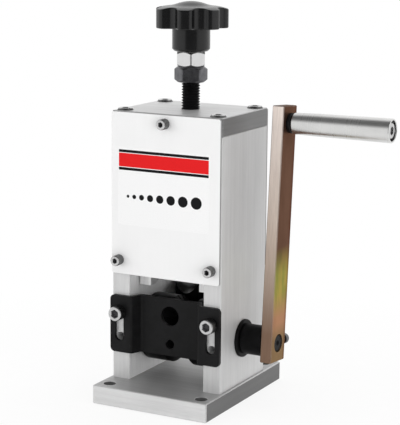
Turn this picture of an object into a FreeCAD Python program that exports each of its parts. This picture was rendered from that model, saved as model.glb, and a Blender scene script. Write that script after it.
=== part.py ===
"""Hand crank wire stripper: a parametric document with one object per separate piece.

Frame: millimetres, +Z up, +X towards the crank, -Y the front where the wire goes in.
The origin is the centre of the base plate's underside.
"""
import FreeCAD, Part
import math
import os
import re

import Sketcher

Vector = FreeCAD.Vector
Rotation = FreeCAD.Rotation

SIZES = {
    # Base plate and its four bench holes
    "base_width": 84.0,
    "base_depth": 109.0,
    "base_thickness": 12.5,
    "bench_hole_diameter": 8.2,
    "bench_hole_side_edge": 8.0,
    "bench_hole_end_edge": 8.5,
    "edge_break": 0.5,
    # Housing: two side plates under a top plate
    "housing_width": 80.0,
    "housing_depth": 64.0,
    "side_thickness": 12.5,
    "side_height": 166.5,
    "top_thickness": 12.0,
    "top_screw_edge": 6.0,
    "base_screw_edge": 12.0,
    # Sheet covers
    "cover_thickness": 1.8,
    "cover_height": 106.3,
    "cover_margin": 0.5,
    "cover_corner_radius": 1.5,
    "cover_screw_edge": 9.3,
    # Label on the front cover
    "label_width": 67.0,
    "label_height": 51.0,
    "label_thickness": 0.15,
    "label_centre_x": -1.2,
    "label_drop": 22.5,
    # M6 and M4 cap screws
    "large_thread": 6.0,
    "large_head": 10.0,
    "large_head_height": 6.0,
    "large_socket": 5.0,
    "large_grip": 14.0,
    "small_thread": 4.0,
    "small_head": 7.0,
    "small_head_height": 4.0,
    "small_socket": 3.0,
    "cover_screw_head_height": 6.3,
    "small_grip": 8.0,
    "tap_runout": 1.0,
    "top_head_proud": 1.4,
    "head_chamfer": 0.5,
    # Wire guides
    "guide_sheet": 2.5,
    "guide_side_overhang": 0.5,
    "guide_above_base": 18.5,
    "guide_height": 38.5,
    "guide_flange_lap": 2.9,
    "guide_web_run": 3.4,
    "guide_roller_gap": 1.5,
    "guide_corner_radius": 3.0,
    "guide_bend_radius": 2.0,
    "guide_slot_width": 6.6,
    "guide_slot_rise": 11.0,
    "guide_screw_rise": 27.0,
    "guide_spare_rise": 10.0,
    "wire_hole_large": 13.0,
    "wire_hole_small": 6.4,
    "wire_hole_rear": 16.0,
    "wire_hole_large_rise": 26.8,
    "wire_hole_small_rise": 7.9,
    # Feed roller and its shaft
    "crank_height": 42.5,
    "roller_radius": 22.5,
    "groove_half_width": 9.0,
    "groove_radius": 12.0,
    "groove_flat": 0.6,
    "tooth_count": 24,
    "tooth_depth": 1.2,
    "tooth_gap": 1.4,
    "shaft_diameter": 15.0,
    "shaft_end_diameter": 12.0,
    "shaft_end_recess": 0.5,
    "key_width": 5.0,
    "key_length": 20.0,
    "key_in_shaft": 3.0,
    "bush_diameter": 20.0,
    "bush_flange_diameter": 25.0,
    "bush_flange": 2.0,
    "thrust_washer": 0.5,
    "thrust_washer_diameter": 22.0,
    "collar_diameter": 20.0,
    "collar_length": 15.2,
    "grub_length": 4.0,
    # Crank arm
    "arm_width": 20.0,
    "arm_thickness": 8.0,
    "arm_centres": 143.0,
    "arm_top": 11.0,
    "arm_foot": 12.2,
    "arm_lean": 4.5,
    "clamp_proud": 4.5,
    # Handle
    "handle_length": 66.4,
    "handle_small_diameter": 13.8,
    "handle_large_diameter": 15.3,
    "handle_recess_depth": 4.0,
    "handle_recess_diameter": 13.0,
    "handle_pin_diameter": 8.0,
    "handle_pin_head": 10.2,
    "handle_pin_head_height": 3.0,
    "handle_bush_diameter": 10.4,
    "handle_bush_length": 10.0,
    "handle_washer_thickness": 3.0,
    "handle_washer_diameter": 13.0,
    # Blade and its carrier
    "blade_axle_height": 89.0,
    "carrier_floor_rise": 9.0,
    "carrier_block_height": 24.0,
    "blade_groove_gap": 1.5,
    "cheek_drop": 14.0,
    "cheek_thickness": 8.4,
    "cheek_wall_gap": 1.1,
    "cheek_guide_gap": 4.0,
    "cheek_roller_gap": 2.0,
    "blade_radius": 21.0,
    "blade_thickness": 3.0,
    "blade_bevel": 4.5,
    "blade_edge": 0.2,
    "blade_room": 1.5,
    "blade_bush_diameter": 12.0,
    "blade_bush_length": 14.0,
    "axle_diameter": 8.0,
    "spacer_diameter": 13.0,
    # Screw spindle, its retainer and its nuts
    "spindle_thread": 12.0,
    "spindle_neck": 8.0,
    "spindle_button_height": 4.0,
    "retainer_thickness": 3.0,
    "retainer_width": 40.0,
    "retainer_depth": 20.0,
    "retainer_screw_pitch": 28.0,
    "lock_nut_flats": 19.0,
    "plated_nut_flats": 18.0,
    "nut_height": 10.0,
    "nut_face_step": 1.6,
    "nut_chamfer_angle": 40.0,
    "nut_clear_of_top": 17.6,
    "lock_nut_turn": -2.0,
    "plated_nut_turn": 28.0,
    # Star knob
    "knob_height": 31.9,
    "knob_diameter": 48.0,
    "knob_boss_diameter": 24.6,
    "knob_boss_chamfer": 1.5,
    "knob_rim_height": 12.4,
    "knob_rim_edge": 0.8,
    "knob_rim_drop": 4.6,
    "knob_shelf_radius": 31.0,
    "knob_cap_radius": 27.0,
    "knob_cap_diameter": 24.8,
    "knob_lobes": 7,
    "knob_turn": 4.2,
    "knob_scallop_radius": 6.0,
    "knob_scallop_depth": 5.0,
    "knob_lobe_radius": 3.5,
    "insert_diameter": 18.0,
    "insert_length": 20.0,
    # Fits
    "running_fit": 0.05,
    "thread_fit": 0.05,
    "press_fit": 0.01,
    "screw_clearance": 0.3,
    "slide_gap": 0.3,
    "shadow_gap": 0.6,
    "end_gap": 0.1,
}

# Places that several pieces share, worked out from the sizes
WALL_INNER = "(housing_width / 2 - side_thickness)"
WALL_MIDDLE = "(housing_width / 2 - side_thickness / 2)"
SIDE_TOP = "(base_thickness + side_height)"
HOUSING_TOP = "(base_thickness + side_height + top_thickness)"
TOP_MIDDLE = "(base_thickness + side_height + top_thickness / 2)"
TOP_SCREW_Y = "(housing_depth / 2 - top_screw_edge)"
BASE_SCREW_Y = "(housing_depth / 2 - base_screw_edge)"
COVER_TOP = f"({HOUSING_TOP} - cover_margin)"
COVER_BOTTOM = f"({COVER_TOP} - cover_height)"
COVER_SCREW_LOW = f"({COVER_BOTTOM} + cover_screw_edge)"
GUIDE_BOTTOM = "(base_thickness + guide_above_base)"
GUIDE_SCREW_HEIGHT = f"({GUIDE_BOTTOM} + guide_screw_rise)"
GUIDE_RECESS_DEPTH = "(housing_depth / 2 - roller_radius - guide_roller_gap)"
CARRIER_FLOOR = "(blade_axle_height + carrier_floor_rise)"
CARRIER_TOP = "(blade_axle_height + carrier_floor_rise + carrier_block_height)"
CHEEK_OUTER = "(housing_width / 2 - side_thickness - cheek_wall_gap)"
CHEEK_INNER = "(housing_width / 2 - side_thickness - cheek_wall_gap - cheek_thickness)"
CHEEK_HALF_DEPTH = "(roller_radius + guide_roller_gap - cheek_guide_gap)"
ROLLER_END = "(housing_width / 2 - side_thickness - thrust_washer - 2 * end_gap)"
COLLAR_START = "(housing_width / 2 + bush_flange + slide_gap)"
ARM_INNER = "(housing_width / 2 + bush_flange + 2 * slide_gap + collar_length)"
ARM_OUTER = "(housing_width / 2 + bush_flange + 2 * slide_gap + collar_length + arm_thickness)"
HANDLE_START = f"({ARM_OUTER} + handle_washer_thickness + 2 * slide_gap)"
HANDLE_END = f"({HANDLE_START} + handle_length)"
NUT_BOTTOM = f"({HOUSING_TOP} + nut_clear_of_top)"
KNOB_BOTTOM = f"({NUT_BOTTOM} + 2 * nut_height)"
RETAINER_TOP = f"({CARRIER_TOP} + retainer_thickness)"

doc = FreeCAD.newDocument("hand_crank_wire_stripper")
dims = doc.addObject("Spreadsheet::Sheet", "dims")
for row, (alias, size) in enumerate(SIZES.items(), start=1):
    dims.set(f"A{row}", str(size))
    dims.setAlias(f"A{row}", alias)
doc.recompute()

pieces = []


def number(expression):
    """Work out an expression made of size names."""
    return float(dims.evalExpression(str(expression)))


def linked(expression):
    """Write the size names of an expression as references to the sheet."""
    def reference(word):
        return f"dims.{word[0]}" if word[0] in SIZES else word[0]
    return re.sub(r"[a-z_]+", reference, str(expression))


def piece(thing, label):
    """Keep an object as a piece of the machine, under the name of its file."""
    thing.Label = label
    pieces.append(thing)
    return thing


def place(thing, x="0", y="0", z="0", rotation=None):
    """Stand an object at a place written as sizes, turned by a fixed rotation."""
    if rotation:
        thing.Placement = FreeCAD.Placement(Vector(), rotation)
    for axis, expression in zip("xyz", (x, y, z)):
        thing.setExpression(f"Placement.Base.{axis}", linked(expression))
    return thing


def about_z(angle):
    """Rotation about the vertical by a named angle."""
    return Rotation(Vector(0, 0, 1), number(angle))


def pin(sketch, geometry, vertex, x, y):
    """Hold a point of a sketch at a place written as sizes."""
    for kind, axis, expression in (("DistanceX", -2, x), ("DistanceY", -1, y)):
        if expression == "0":
            sketch.addConstraint(Sketcher.Constraint("PointOnObject", geometry, vertex, axis))
            continue
        constraint = Sketcher.Constraint(kind, -1, 1, geometry, vertex, number(expression))
        index = sketch.addConstraint(constraint)
        sketch.setExpression(f"Constraints[{index}]", linked(expression))


def draw_circle(sketch, x, y, radius):
    """Draw a circle with its centre and radius tied to sizes."""
    centre = Vector(number(x), number(y), 0)
    index = sketch.addGeometry(Part.Circle(centre, Vector(0, 0, 1), number(radius)))
    pin(sketch, index, 3, x, y)
    constraint = sketch.addConstraint(Sketcher.Constraint("Radius", index, number(radius)))
    sketch.setExpression(f"Constraints[{constraint}]", linked(radius))


def draw_arc(sketch, start, end, radius):
    """Draw the short arc that turns left from start to end; return its (start, end) vertices."""
    chord = end - start
    half = chord.Length / 2
    inward = Vector(-chord.y, chord.x, 0).normalize()
    centre = (start + end) / 2 + inward * math.sqrt(radius ** 2 - half ** 2)
    first = math.atan2(start.y - centre.y, start.x - centre.x)
    last = math.atan2(end.y - centre.y, end.x - centre.x)
    if last < first:
        last += 2 * math.pi
    circle = Part.Circle(centre, Vector(0, 0, 1), radius)
    return sketch.addGeometry(Part.ArcOfCircle(circle, first, last))


def draw_outline(sketch, corners):
    """Draw a closed outline. A corner is (x, y), or (x, y, radius) where an arc turning left follows it."""
    places = [Vector(number(corner[0]), number(corner[1]), 0) for corner in corners]
    sides = []
    for corner, start, end in zip(corners, places, places[1:] + places[:1]):
        if len(corner) == 3:
            side = draw_arc(sketch, start, end, number(corner[2]))
            constraint = sketch.addConstraint(Sketcher.Constraint("Radius", side, number(corner[2])))
            sketch.setExpression(f"Constraints[{constraint}]", linked(corner[2]))
        else:
            side = sketch.addGeometry(Part.LineSegment(start, end))
        sides.append(side)
    for corner, side, following in zip(corners, sides, sides[1:] + sides[:1]):
        sketch.addConstraint(Sketcher.Constraint("Coincident", side, 2, following, 1))
        pin(sketch, side, 1, corner[0], corner[1])


def rectangle(left, right, low, high):
    """Corners of an upright rectangle."""
    return [(left, low), (right, low), (right, high), (left, high)]


def opposite(corners):
    """The corners mirrored to the other side of the vertical axis, in reverse order."""
    return [(f"-({x})", y) for x, y in reversed(corners)]


def hexagon(flats):
    """Corners of a hexagon with two flats facing left and right."""
    corners = []
    for step in range(6):
        angle = math.radians(60 * step + 30)
        x = f"{flats} / sqrt(3) * {math.cos(angle):.9f}"
        y = f"{flats} / sqrt(3) * {math.sin(angle):.9f}"
        corners.append(("0" if step in (1, 4) else x, y))
    return corners


class Body:
    """A PartDesign body built from sketches on its origin planes."""

    def __init__(self, name):
        self.body = doc.addObject("PartDesign::Body", name)

    def sketch(self, role, offset, shapes):
        """Sketch the shapes on an origin plane: a list is an outline, a tuple a circle."""
        sketch = self.body.newObject("Sketcher::SketchObject", f"{self.body.Name}_sketch")
        plane = next(item for item in self.body.Origin.OriginFeatures if item.Role == role)
        sketch.AttachmentSupport = [(plane, "")]
        sketch.MapMode = "FlatFace"
        sketch.setExpression("AttachmentOffset.Base.z", linked(offset))
        for shape in shapes:
            if isinstance(shape, tuple):
                draw_circle(sketch, *shape)
            else:
                draw_outline(sketch, shape)
        return sketch

    def feature(self, kind, name, profile):
        """Add a feature that uses a sketch."""
        feature = self.body.newObject(f"PartDesign::{kind}", f"{self.body.Name}_{name}")
        feature.Profile = profile
        profile.Visibility = False
        return feature

    def pad(self, role, start, end, *shapes):
        """Fill the shapes between two places along the plane's axis."""
        offset = f"-({end})" if role == "XZ_Plane" else start
        feature = self.feature("Pad", "pad", self.sketch(role, offset, shapes))
        feature.setExpression("Length", linked(f"({end}) - ({start})"))
        return self

    def cut(self, role, start, end, *shapes):
        """Cut the shapes away between two places along the plane's axis."""
        doc.recompute()
        before = self.body.Shape.Volume
        offset = f"-({start})" if role == "XZ_Plane" else end
        feature = self.feature("Pocket", "cut", self.sketch(role, offset, shapes))
        feature.setExpression("Length", linked(f"({end}) - ({start})"))
        doc.recompute()
        if self.body.Shape.Volume >= before:
            raise RuntimeError(f"{self.body.Name}: a cut from {start} to {end} removes nothing")
        return self

    def revolve(self, role, axis, corners, kind="Revolution"):
        """Turn an outline about an axis of its own sketch."""
        sketch = self.sketch(role, "0", [corners])
        feature = self.feature(kind, kind.lower(), sketch)
        feature.ReferenceAxis = (sketch, [axis])
        return self

    def repeat(self, axis, count):
        """Repeat the last feature about an axis of its sketch."""
        last = self.body.Tip
        pattern = self.body.newObject("PartDesign::PolarPattern", f"{self.body.Name}_pattern")
        pattern.Originals = [last]
        pattern.Axis = (last.Profile[0], [axis])
        pattern.Angle = 360
        pattern.setExpression("Occurrences", linked(count))
        self.body.Tip = pattern
        return self

    def soften(self, kind, size, choose):
        """Fillet or chamfer the edges that choose() picks from the body as it is."""
        doc.recompute()
        tip = self.body.Tip
        bounds = tip.Shape.BoundBox
        edges = [f"Edge{n}" for n, edge in enumerate(tip.Shape.Edges, start=1) if choose(edge, bounds)]
        feature = self.body.newObject(f"PartDesign::{kind}", f"{self.body.Name}_{kind.lower()}")
        feature.Base = (tip, edges)
        feature.setExpression("Radius" if kind == "Fillet" else "Size", linked(size))
        return self


def is_outer(edge, bounds):
    """True for an edge that runs along two faces of the bounding box."""
    middle = edge.CenterOfMass
    faces = (bounds.XMin, bounds.XMax, bounds.YMin, bounds.YMax, bounds.ZMin, bounds.ZMax)
    values = (middle.x, middle.x, middle.y, middle.y, middle.z, middle.z)
    touching = sum(abs(face - value) < 1e-4 for face, value in zip(faces, values))
    return touching == 2 and isinstance(edge.Curve, (Part.Line, Part.LineSegment))


def is_upright(edge):
    """True for a straight vertical edge."""
    rise = edge.BoundBox.ZLength
    return rise > 0 and abs(edge.Length - rise) < 1e-6


def is_lobe_corner(edge, bounds):
    """True for an upright edge at the rim of a round piece."""
    middle = edge.CenterOfMass
    return is_upright(edge) and math.hypot(middle.x, middle.y) > bounds.XLength * 0.45


def is_bend(edge, bounds):
    """True for an upright edge between the ends of a bent sheet."""
    return is_upright(edge) and bounds.XMin + 1 < edge.CenterOfMass.x < bounds.XMax - 1


def is_along(axis):
    """Pick the outer edges that run along one axis."""
    def choose(edge, bounds):
        direction = edge.tangentAt(edge.FirstParameter)
        return is_outer(edge, bounds) and abs(getattr(direction, axis)) > 0.99
    return choose


def turned(name, corners, axis="z"):
    """Body of revolution: corners are (radius, height) about Z, or (length, radius) about X."""
    if axis == "z":
        return Body(name).revolve("XZ_Plane", "V_Axis", corners)
    return Body(name).revolve("XY_Plane", "H_Axis", corners)


def tube_along_x(name, start, end, outer, inner, chamfer="edge_break"):
    """Turned tube along X with its outer rims chamfered; sizes are radii."""
    corners = [(start, inner), (end, inner),
               (end, f"{outer} - {chamfer}"), (f"{end} - {chamfer}", outer),
               (f"{start} + {chamfer}", outer), (start, f"{outer} - {chamfer}")]
    return turned(name, corners, axis="x")


def cap_screw(name, family, length, head_height=None):
    """Socket cap screw standing on its head's bearing face, the shank below it."""
    head = f"{family}_head / 2"
    top = head_height or f"{family}_head_height"
    shank = f"{family}_thread / 2"
    profile = [("0", f"-({length})"), (f"{shank} - head_chamfer", f"-({length})"),
               (shank, f"-({length}) + head_chamfer"), (shank, "0"), (head, "0"),
               (head, f"{top} - head_chamfer"), (f"{head} - head_chamfer", top), ("0", top)]
    screw = turned(name, profile)
    screw.cut("XY_Plane", f"{top} / 2", top, hexagon(f"{family}_socket"))
    return screw.body


def grub_screw(name):
    """M4 socket set screw, its point at the origin and its body above."""
    radius = "small_thread / 2"
    profile = [("0", "0"), (f"{radius} - 2 * edge_break", "0"), (radius, "2 * edge_break"),
               (radius, "grub_length"), ("0", "grub_length")]
    screw = turned(name, profile)
    screw.cut("XY_Plane", "grub_length / 2", "grub_length", hexagon("small_thread / 2"))
    return screw.body


def mirrored(source, **normal):
    """Mirror image of an object across a plane through the origin."""
    image = doc.addObject("Part::Mirroring", f"{source.Name}_mirrored")
    image.Source = source
    image.Normal = Vector(normal.get("x", 0), normal.get("y", 0), normal.get("z", 0))
    return image


def group(label, members):
    """Put separate identical solids under one name."""
    compound = doc.addObject("Part::Compound", label)
    compound.Links = members
    return piece(compound, label)


def four_corners(label, source):
    """The object and its images in all four quadrants."""
    across = mirrored(source, x=1)
    return group(label, [source, across, mirrored(source, y=1), mirrored(across, y=1)])


def corner_circles(x, y, radius):
    """Circles in all four quadrants."""
    return [(f"{side}({x})", f"{end}({y})", radius) for side in ("", "-") for end in ("", "-")]


HEAD_DOWN = Rotation(Vector(1, 0, 0), 180)
HEAD_FORWARD = Rotation(Vector(1, 0, 0), 90)
HEAD_BACK = Rotation(Vector(1, 0, 0), -90)

LARGE_HOLE = "large_thread / 2 + screw_clearance"
LARGE_TAP = "large_thread / 2 + thread_fit"
LARGE_COUNTERBORE = "large_head / 2 + screw_clearance"
SMALL_HOLE = "small_thread / 2 + screw_clearance"
SMALL_TAP = "small_thread / 2 + thread_fit"


# ---- Frame of the machine ----

def make_base_plate():
    """Thick plate with four bench holes and four counterbored screw holes from below."""
    plate = Body("base_plate")
    plate.pad("XY_Plane", "0", "base_thickness",
              rectangle("-base_width / 2", "base_width / 2", "-base_depth / 2", "base_depth / 2"))
    plate.soften("Chamfer", "edge_break", is_outer)
    bench = corner_circles("base_width / 2 - bench_hole_side_edge", "base_depth / 2 - bench_hole_end_edge",
                           "bench_hole_diameter / 2")
    screws = corner_circles(WALL_MIDDLE, BASE_SCREW_Y, LARGE_HOLE)
    plate.cut("XY_Plane", "0", "base_thickness", *bench, *screws)
    plate.cut("XY_Plane", "0", "large_head_height + screw_clearance",
              *corner_circles(WALL_MIDDLE, BASE_SCREW_Y, LARGE_COUNTERBORE))
    piece(plate.body, "base_plate")


def make_side_plates():
    """Upright plates, mirror images, with the shaft bore and the tapped fixing holes."""
    plate = Body("right_side_plate")
    plate.pad("YZ_Plane", WALL_INNER, "housing_width / 2",
              rectangle("-housing_depth / 2", "housing_depth / 2", "base_thickness", SIDE_TOP))
    plate.soften("Chamfer", "edge_break", is_along("z"))
    plate.cut("YZ_Plane", WALL_INNER, "housing_width / 2",
              ("0", "crank_height", "bush_diameter / 2 + press_fit"))
    guide_holes = [(WALL_MIDDLE, GUIDE_SCREW_HEIGHT, LARGE_TAP),
                   (WALL_MIDDLE, f"{GUIDE_BOTTOM} + guide_spare_rise", LARGE_TAP)]
    cover_hole = (WALL_MIDDLE, COVER_SCREW_LOW, SMALL_TAP)
    front = "-housing_depth / 2"
    back = "housing_depth / 2"
    plate.cut("XZ_Plane", front, f"{front} + large_grip + tap_runout", *guide_holes)
    plate.cut("XZ_Plane", f"{back} - large_grip - tap_runout", back, *guide_holes)
    plate.cut("XZ_Plane", front, f"{front} + small_grip", cover_hole)
    plate.cut("XZ_Plane", f"{back} - small_grip", back, cover_hole)
    top_holes = [(WALL_MIDDLE, f"{sign}{TOP_SCREW_Y}", LARGE_TAP) for sign in ("", "-")]
    base_holes = [(WALL_MIDDLE, f"{sign}{BASE_SCREW_Y}", LARGE_TAP) for sign in ("", "-")]
    plate.cut("XY_Plane", f"{SIDE_TOP} - large_grip", SIDE_TOP, *top_holes)
    plate.cut("XY_Plane", "base_thickness", "base_thickness + large_grip", *base_holes)
    piece(plate.body, "right_side_plate")
    piece(mirrored(plate.body, x=1), "left_side_plate")


def make_top_plate():
    """Top plate with the spindle's threaded hole and counterbored corner holes."""
    plate = Body("top_plate")
    plate.pad("XY_Plane", SIDE_TOP, HOUSING_TOP,
              rectangle("-housing_width / 2", "housing_width / 2", "-housing_depth / 2", "housing_depth / 2"))
    plate.soften("Chamfer", "edge_break", is_outer)
    plate.cut("XY_Plane", SIDE_TOP, HOUSING_TOP, ("0", "0", "spindle_thread / 2 + thread_fit"),
              *corner_circles(WALL_MIDDLE, TOP_SCREW_Y, LARGE_HOLE))
    plate.cut("XY_Plane", f"{HOUSING_TOP} + top_head_proud - large_head_height", HOUSING_TOP,
              *corner_circles(WALL_MIDDLE, TOP_SCREW_Y, LARGE_COUNTERBORE))
    for start, end in (("-housing_depth / 2", "-housing_depth / 2 + small_grip"),
                       ("housing_depth / 2 - small_grip", "housing_depth / 2")):
        plate.cut("XZ_Plane", start, end, ("0", TOP_MIDDLE, SMALL_TAP))
    piece(plate.body, "top_plate")


def make_covers():
    """Sheet covers over the blade carrier, front and back."""
    cover = Body("front_cover")
    back = "-housing_depth / 2"
    front = f"{back} - cover_thickness"
    half_width = "(housing_width / 2 - cover_margin)"
    cover.pad("XZ_Plane", front, back, rectangle(f"-{half_width}", half_width, COVER_BOTTOM, COVER_TOP))
    cover.soften("Fillet", "cover_corner_radius", is_along("y"))
    cover.cut("XZ_Plane", front, back, ("0", TOP_MIDDLE, SMALL_HOLE),
              (WALL_MIDDLE, COVER_SCREW_LOW, SMALL_HOLE), (f"-{WALL_MIDDLE}", COVER_SCREW_LOW, SMALL_HOLE))
    piece(cover.body, "front_cover")
    piece(mirrored(cover.body, y=1), "rear_cover")


def make_label():
    """Thin label stuck on the front cover."""
    label = Body("front_label")
    face = "-housing_depth / 2 - cover_thickness"
    top = f"{COVER_TOP} - label_drop"
    label.pad("XZ_Plane", f"{face} - label_thickness", face,
              rectangle("label_centre_x - label_width / 2", "label_centre_x + label_width / 2",
                        f"{top} - label_height", top))
    piece(label.body, "front_label")


def make_frame_screws():
    """Cap screws that hold the plates and covers."""
    head_seat = f"{HOUSING_TOP} + top_head_proud - large_head_height"
    top_screw = cap_screw("top_screw", "large", f"{head_seat} - {SIDE_TOP} + large_grip - tap_runout")
    place(top_screw, WALL_MIDDLE, TOP_SCREW_Y, head_seat)
    four_corners("top_plate_screws", top_screw)

    seat = "large_head_height + screw_clearance"
    base_screw = cap_screw("base_screw", "large", f"base_thickness - ({seat}) + large_grip - tap_runout")
    place(base_screw, WALL_MIDDLE, BASE_SCREW_Y, seat, HEAD_DOWN)
    four_corners("base_screws", base_screw)

    face = "-housing_depth / 2 - cover_thickness"
    length = "cover_thickness + small_grip - tap_runout"
    low_screw = cap_screw("cover_low_screw", "small", length, "cover_screw_head_height")
    place(low_screw, WALL_MIDDLE, face, COVER_SCREW_LOW, HEAD_FORWARD)
    high_screw = cap_screw("cover_high_screw", "small", length, "cover_screw_head_height")
    place(high_screw, "0", face, TOP_MIDDLE, HEAD_FORWARD)
    front = [low_screw, mirrored(low_screw, x=1), high_screw]
    group("cover_screws", front + [mirrored(screw, y=1) for screw in front])


# ---- Wire guides ----

def guide_body(name, holes):
    """Bent sheet with a recessed middle, a slot in each flange and its wire holes, on the front side."""
    back = "-housing_depth / 2"
    front = f"{back} - guide_sheet"
    half_width = "housing_width / 2 + guide_side_overhang"
    flange_inner = f"({WALL_INNER} - guide_flange_lap)"
    recess_half = f"({WALL_INNER} - guide_flange_lap - guide_web_run)"
    mitre = f"guide_sheet * tan(atan({GUIDE_RECESS_DEPTH} / guide_web_run) / 2)"
    rear_face = [(half_width, back), (f"{flange_inner} + {mitre}", back),
                 (f"{recess_half} + {mitre}", f"{back} + {GUIDE_RECESS_DEPTH}")]
    front_face = [(recess_half, f"{front} + {GUIDE_RECESS_DEPTH}"), (flange_inner, front),
                  (half_width, front)]
    outline = rear_face + opposite(rear_face) + opposite(front_face) + front_face
    guide = Body(name)
    guide.pad("XY_Plane", GUIDE_BOTTOM, f"{GUIDE_BOTTOM} + guide_height", outline)
    guide.soften("Fillet", "guide_bend_radius", is_bend)
    guide.soften("Fillet", "guide_corner_radius", is_along("y"))
    half_slot = "guide_slot_width / 2"
    slot_low = f"{GUIDE_BOTTOM} + guide_slot_rise"
    sides = (WALL_MIDDLE, f"-{WALL_MIDDLE}")
    guide.cut("XZ_Plane", front, back,
              *[rectangle(f"{middle} - {half_slot}", f"{middle} + {half_slot}",
                          slot_low, GUIDE_SCREW_HEIGHT) for middle in sides])
    for height in (slot_low, GUIDE_SCREW_HEIGHT):
        guide.cut("XZ_Plane", front, back, *[(middle, height, half_slot) for middle in sides])
    guide.cut("XZ_Plane", f"{front} + {GUIDE_RECESS_DEPTH}", f"{back} + {GUIDE_RECESS_DEPTH}", *holes)
    return guide.body


def make_wire_guides():
    """Front inlet guide with two holes, rear outlet guide with one large hole, and their screws."""
    large_hole = ("0", f"{GUIDE_BOTTOM} + wire_hole_large_rise", "wire_hole_large / 2")
    small_hole = ("0", f"{GUIDE_BOTTOM} + wire_hole_small_rise", "wire_hole_small / 2")
    rear_hole = ("0", f"{GUIDE_BOTTOM} + guide_height / 2", "wire_hole_rear / 2")
    piece(guide_body("front_wire_guide", [large_hole, small_hole]), "front_wire_guide")
    rear = guide_body("rear_guide_blank", [rear_hole])
    piece(mirrored(rear, y=1), "rear_wire_guide")
    screw = cap_screw("guide_screw", "large", "guide_sheet + large_grip")
    place(screw, WALL_MIDDLE, "-housing_depth / 2 - guide_sheet", GUIDE_SCREW_HEIGHT, HEAD_FORWARD)
    four_corners("guide_screws", screw)


# ---- Blade carrier ----

def make_carrier():
    """Aluminium block with two cheeks, a slot for the blade and a pocket for the spindle's button."""
    carrier = Body("blade_carrier")
    half_width = f"({WALL_INNER} - slide_gap)"
    half_depth = "(housing_depth / 2 - shadow_gap)"
    carrier.pad("XY_Plane", CARRIER_FLOOR, CARRIER_TOP,
                rectangle(f"-{half_width}", half_width, f"-{half_depth}", half_depth))
    carrier.soften("Chamfer", "edge_break", is_outer)
    for inner, outer in ((CHEEK_INNER, CHEEK_OUTER), (f"-{CHEEK_OUTER}", f"-{CHEEK_INNER}")):
        carrier.pad("XY_Plane", "blade_axle_height - cheek_drop", CARRIER_FLOOR,
                    rectangle(inner, outer, f"-{CHEEK_HALF_DEPTH}", CHEEK_HALF_DEPTH))
    roller_at_lowest = "blade_axle_height - blade_radius - blade_groove_gap - groove_radius"
    arch = ("0", roller_at_lowest, "roller_radius + cheek_roller_gap")
    axle = ("0", "blade_axle_height", "axle_diameter / 2 + press_fit")
    carrier.cut("YZ_Plane", f"-{CHEEK_OUTER}", CHEEK_OUTER, arch)
    carrier.cut("YZ_Plane", f"-{CHEEK_OUTER}", CHEEK_OUTER, axle)
    blade_reach = "(blade_radius + blade_room)"
    carrier.cut("XY_Plane", CARRIER_FLOOR, f"blade_axle_height + {blade_reach}",
                rectangle("-blade_thickness", "blade_thickness", f"-{blade_reach}", blade_reach))
    carrier.cut("XY_Plane", f"{CARRIER_TOP} - spindle_button_height - 2 * slide_gap", CARRIER_TOP,
                ("0", "0", "spindle_thread / 2 + slide_gap"))
    screw_holes = [(f"{sign}retainer_screw_pitch / 2", "0", SMALL_TAP) for sign in ("", "-")]
    carrier.cut("XY_Plane", f"{CARRIER_TOP} - small_grip", CARRIER_TOP, *screw_holes)
    cheek_middle = f"({CHEEK_OUTER} - cheek_thickness / 2)"
    grub_holes = [(f"{sign}{cheek_middle}", "blade_axle_height", SMALL_TAP) for sign in ("", "-")]
    carrier.cut("XZ_Plane", f"-{CHEEK_HALF_DEPTH}", "-axle_diameter / 2", *grub_holes)
    piece(carrier.body, "blade_carrier")

    grub = grub_screw("axle_grub_screw")
    place(grub, cheek_middle, "-axle_diameter / 2 - end_gap", "blade_axle_height", HEAD_FORWARD)
    group("axle_grub_screws", [grub, mirrored(grub, x=1)])


def make_blade():
    """Round blade on a bronze bush, its axle and the spacers beside it."""
    axle_end = f"({CHEEK_OUTER} - slide_gap)"
    axle = tube_along_x("blade_axle", f"-{axle_end}", axle_end, "axle_diameter / 2", "0")
    piece(place(axle.body, z="blade_axle_height"), "blade_axle")
    half = "blade_thickness / 2"
    edge = "blade_edge / 2"
    bore = "blade_bush_diameter / 2 + press_fit"
    bevel = "blade_radius - blade_bevel"
    profile = [(f"-{half}", bore), (half, bore), (half, bevel), (edge, "blade_radius"),
               (f"-{edge}", "blade_radius"), (f"-{half}", bevel)]
    disc = turned("blade_disc", profile, axis="x")
    piece(place(disc.body, z="blade_axle_height"), "blade_disc")
    bush_end = "blade_bush_length / 2"
    bush = tube_along_x("blade_bush", f"-{bush_end}", bush_end, "blade_bush_diameter / 2",
                        "axle_diameter / 2 + running_fit")
    piece(place(bush.body, z="blade_axle_height"), "blade_bush")
    spacer = tube_along_x("blade_spacer", "blade_bush_length / 2 + end_gap", f"{CHEEK_INNER} - end_gap",
                          "spacer_diameter / 2", "axle_diameter / 2 + press_fit")
    place(spacer.body, z="blade_axle_height")
    group("blade_spacers", [spacer.body, mirrored(spacer.body, x=1)])


# ---- Spindle, nuts and knob ----

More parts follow.
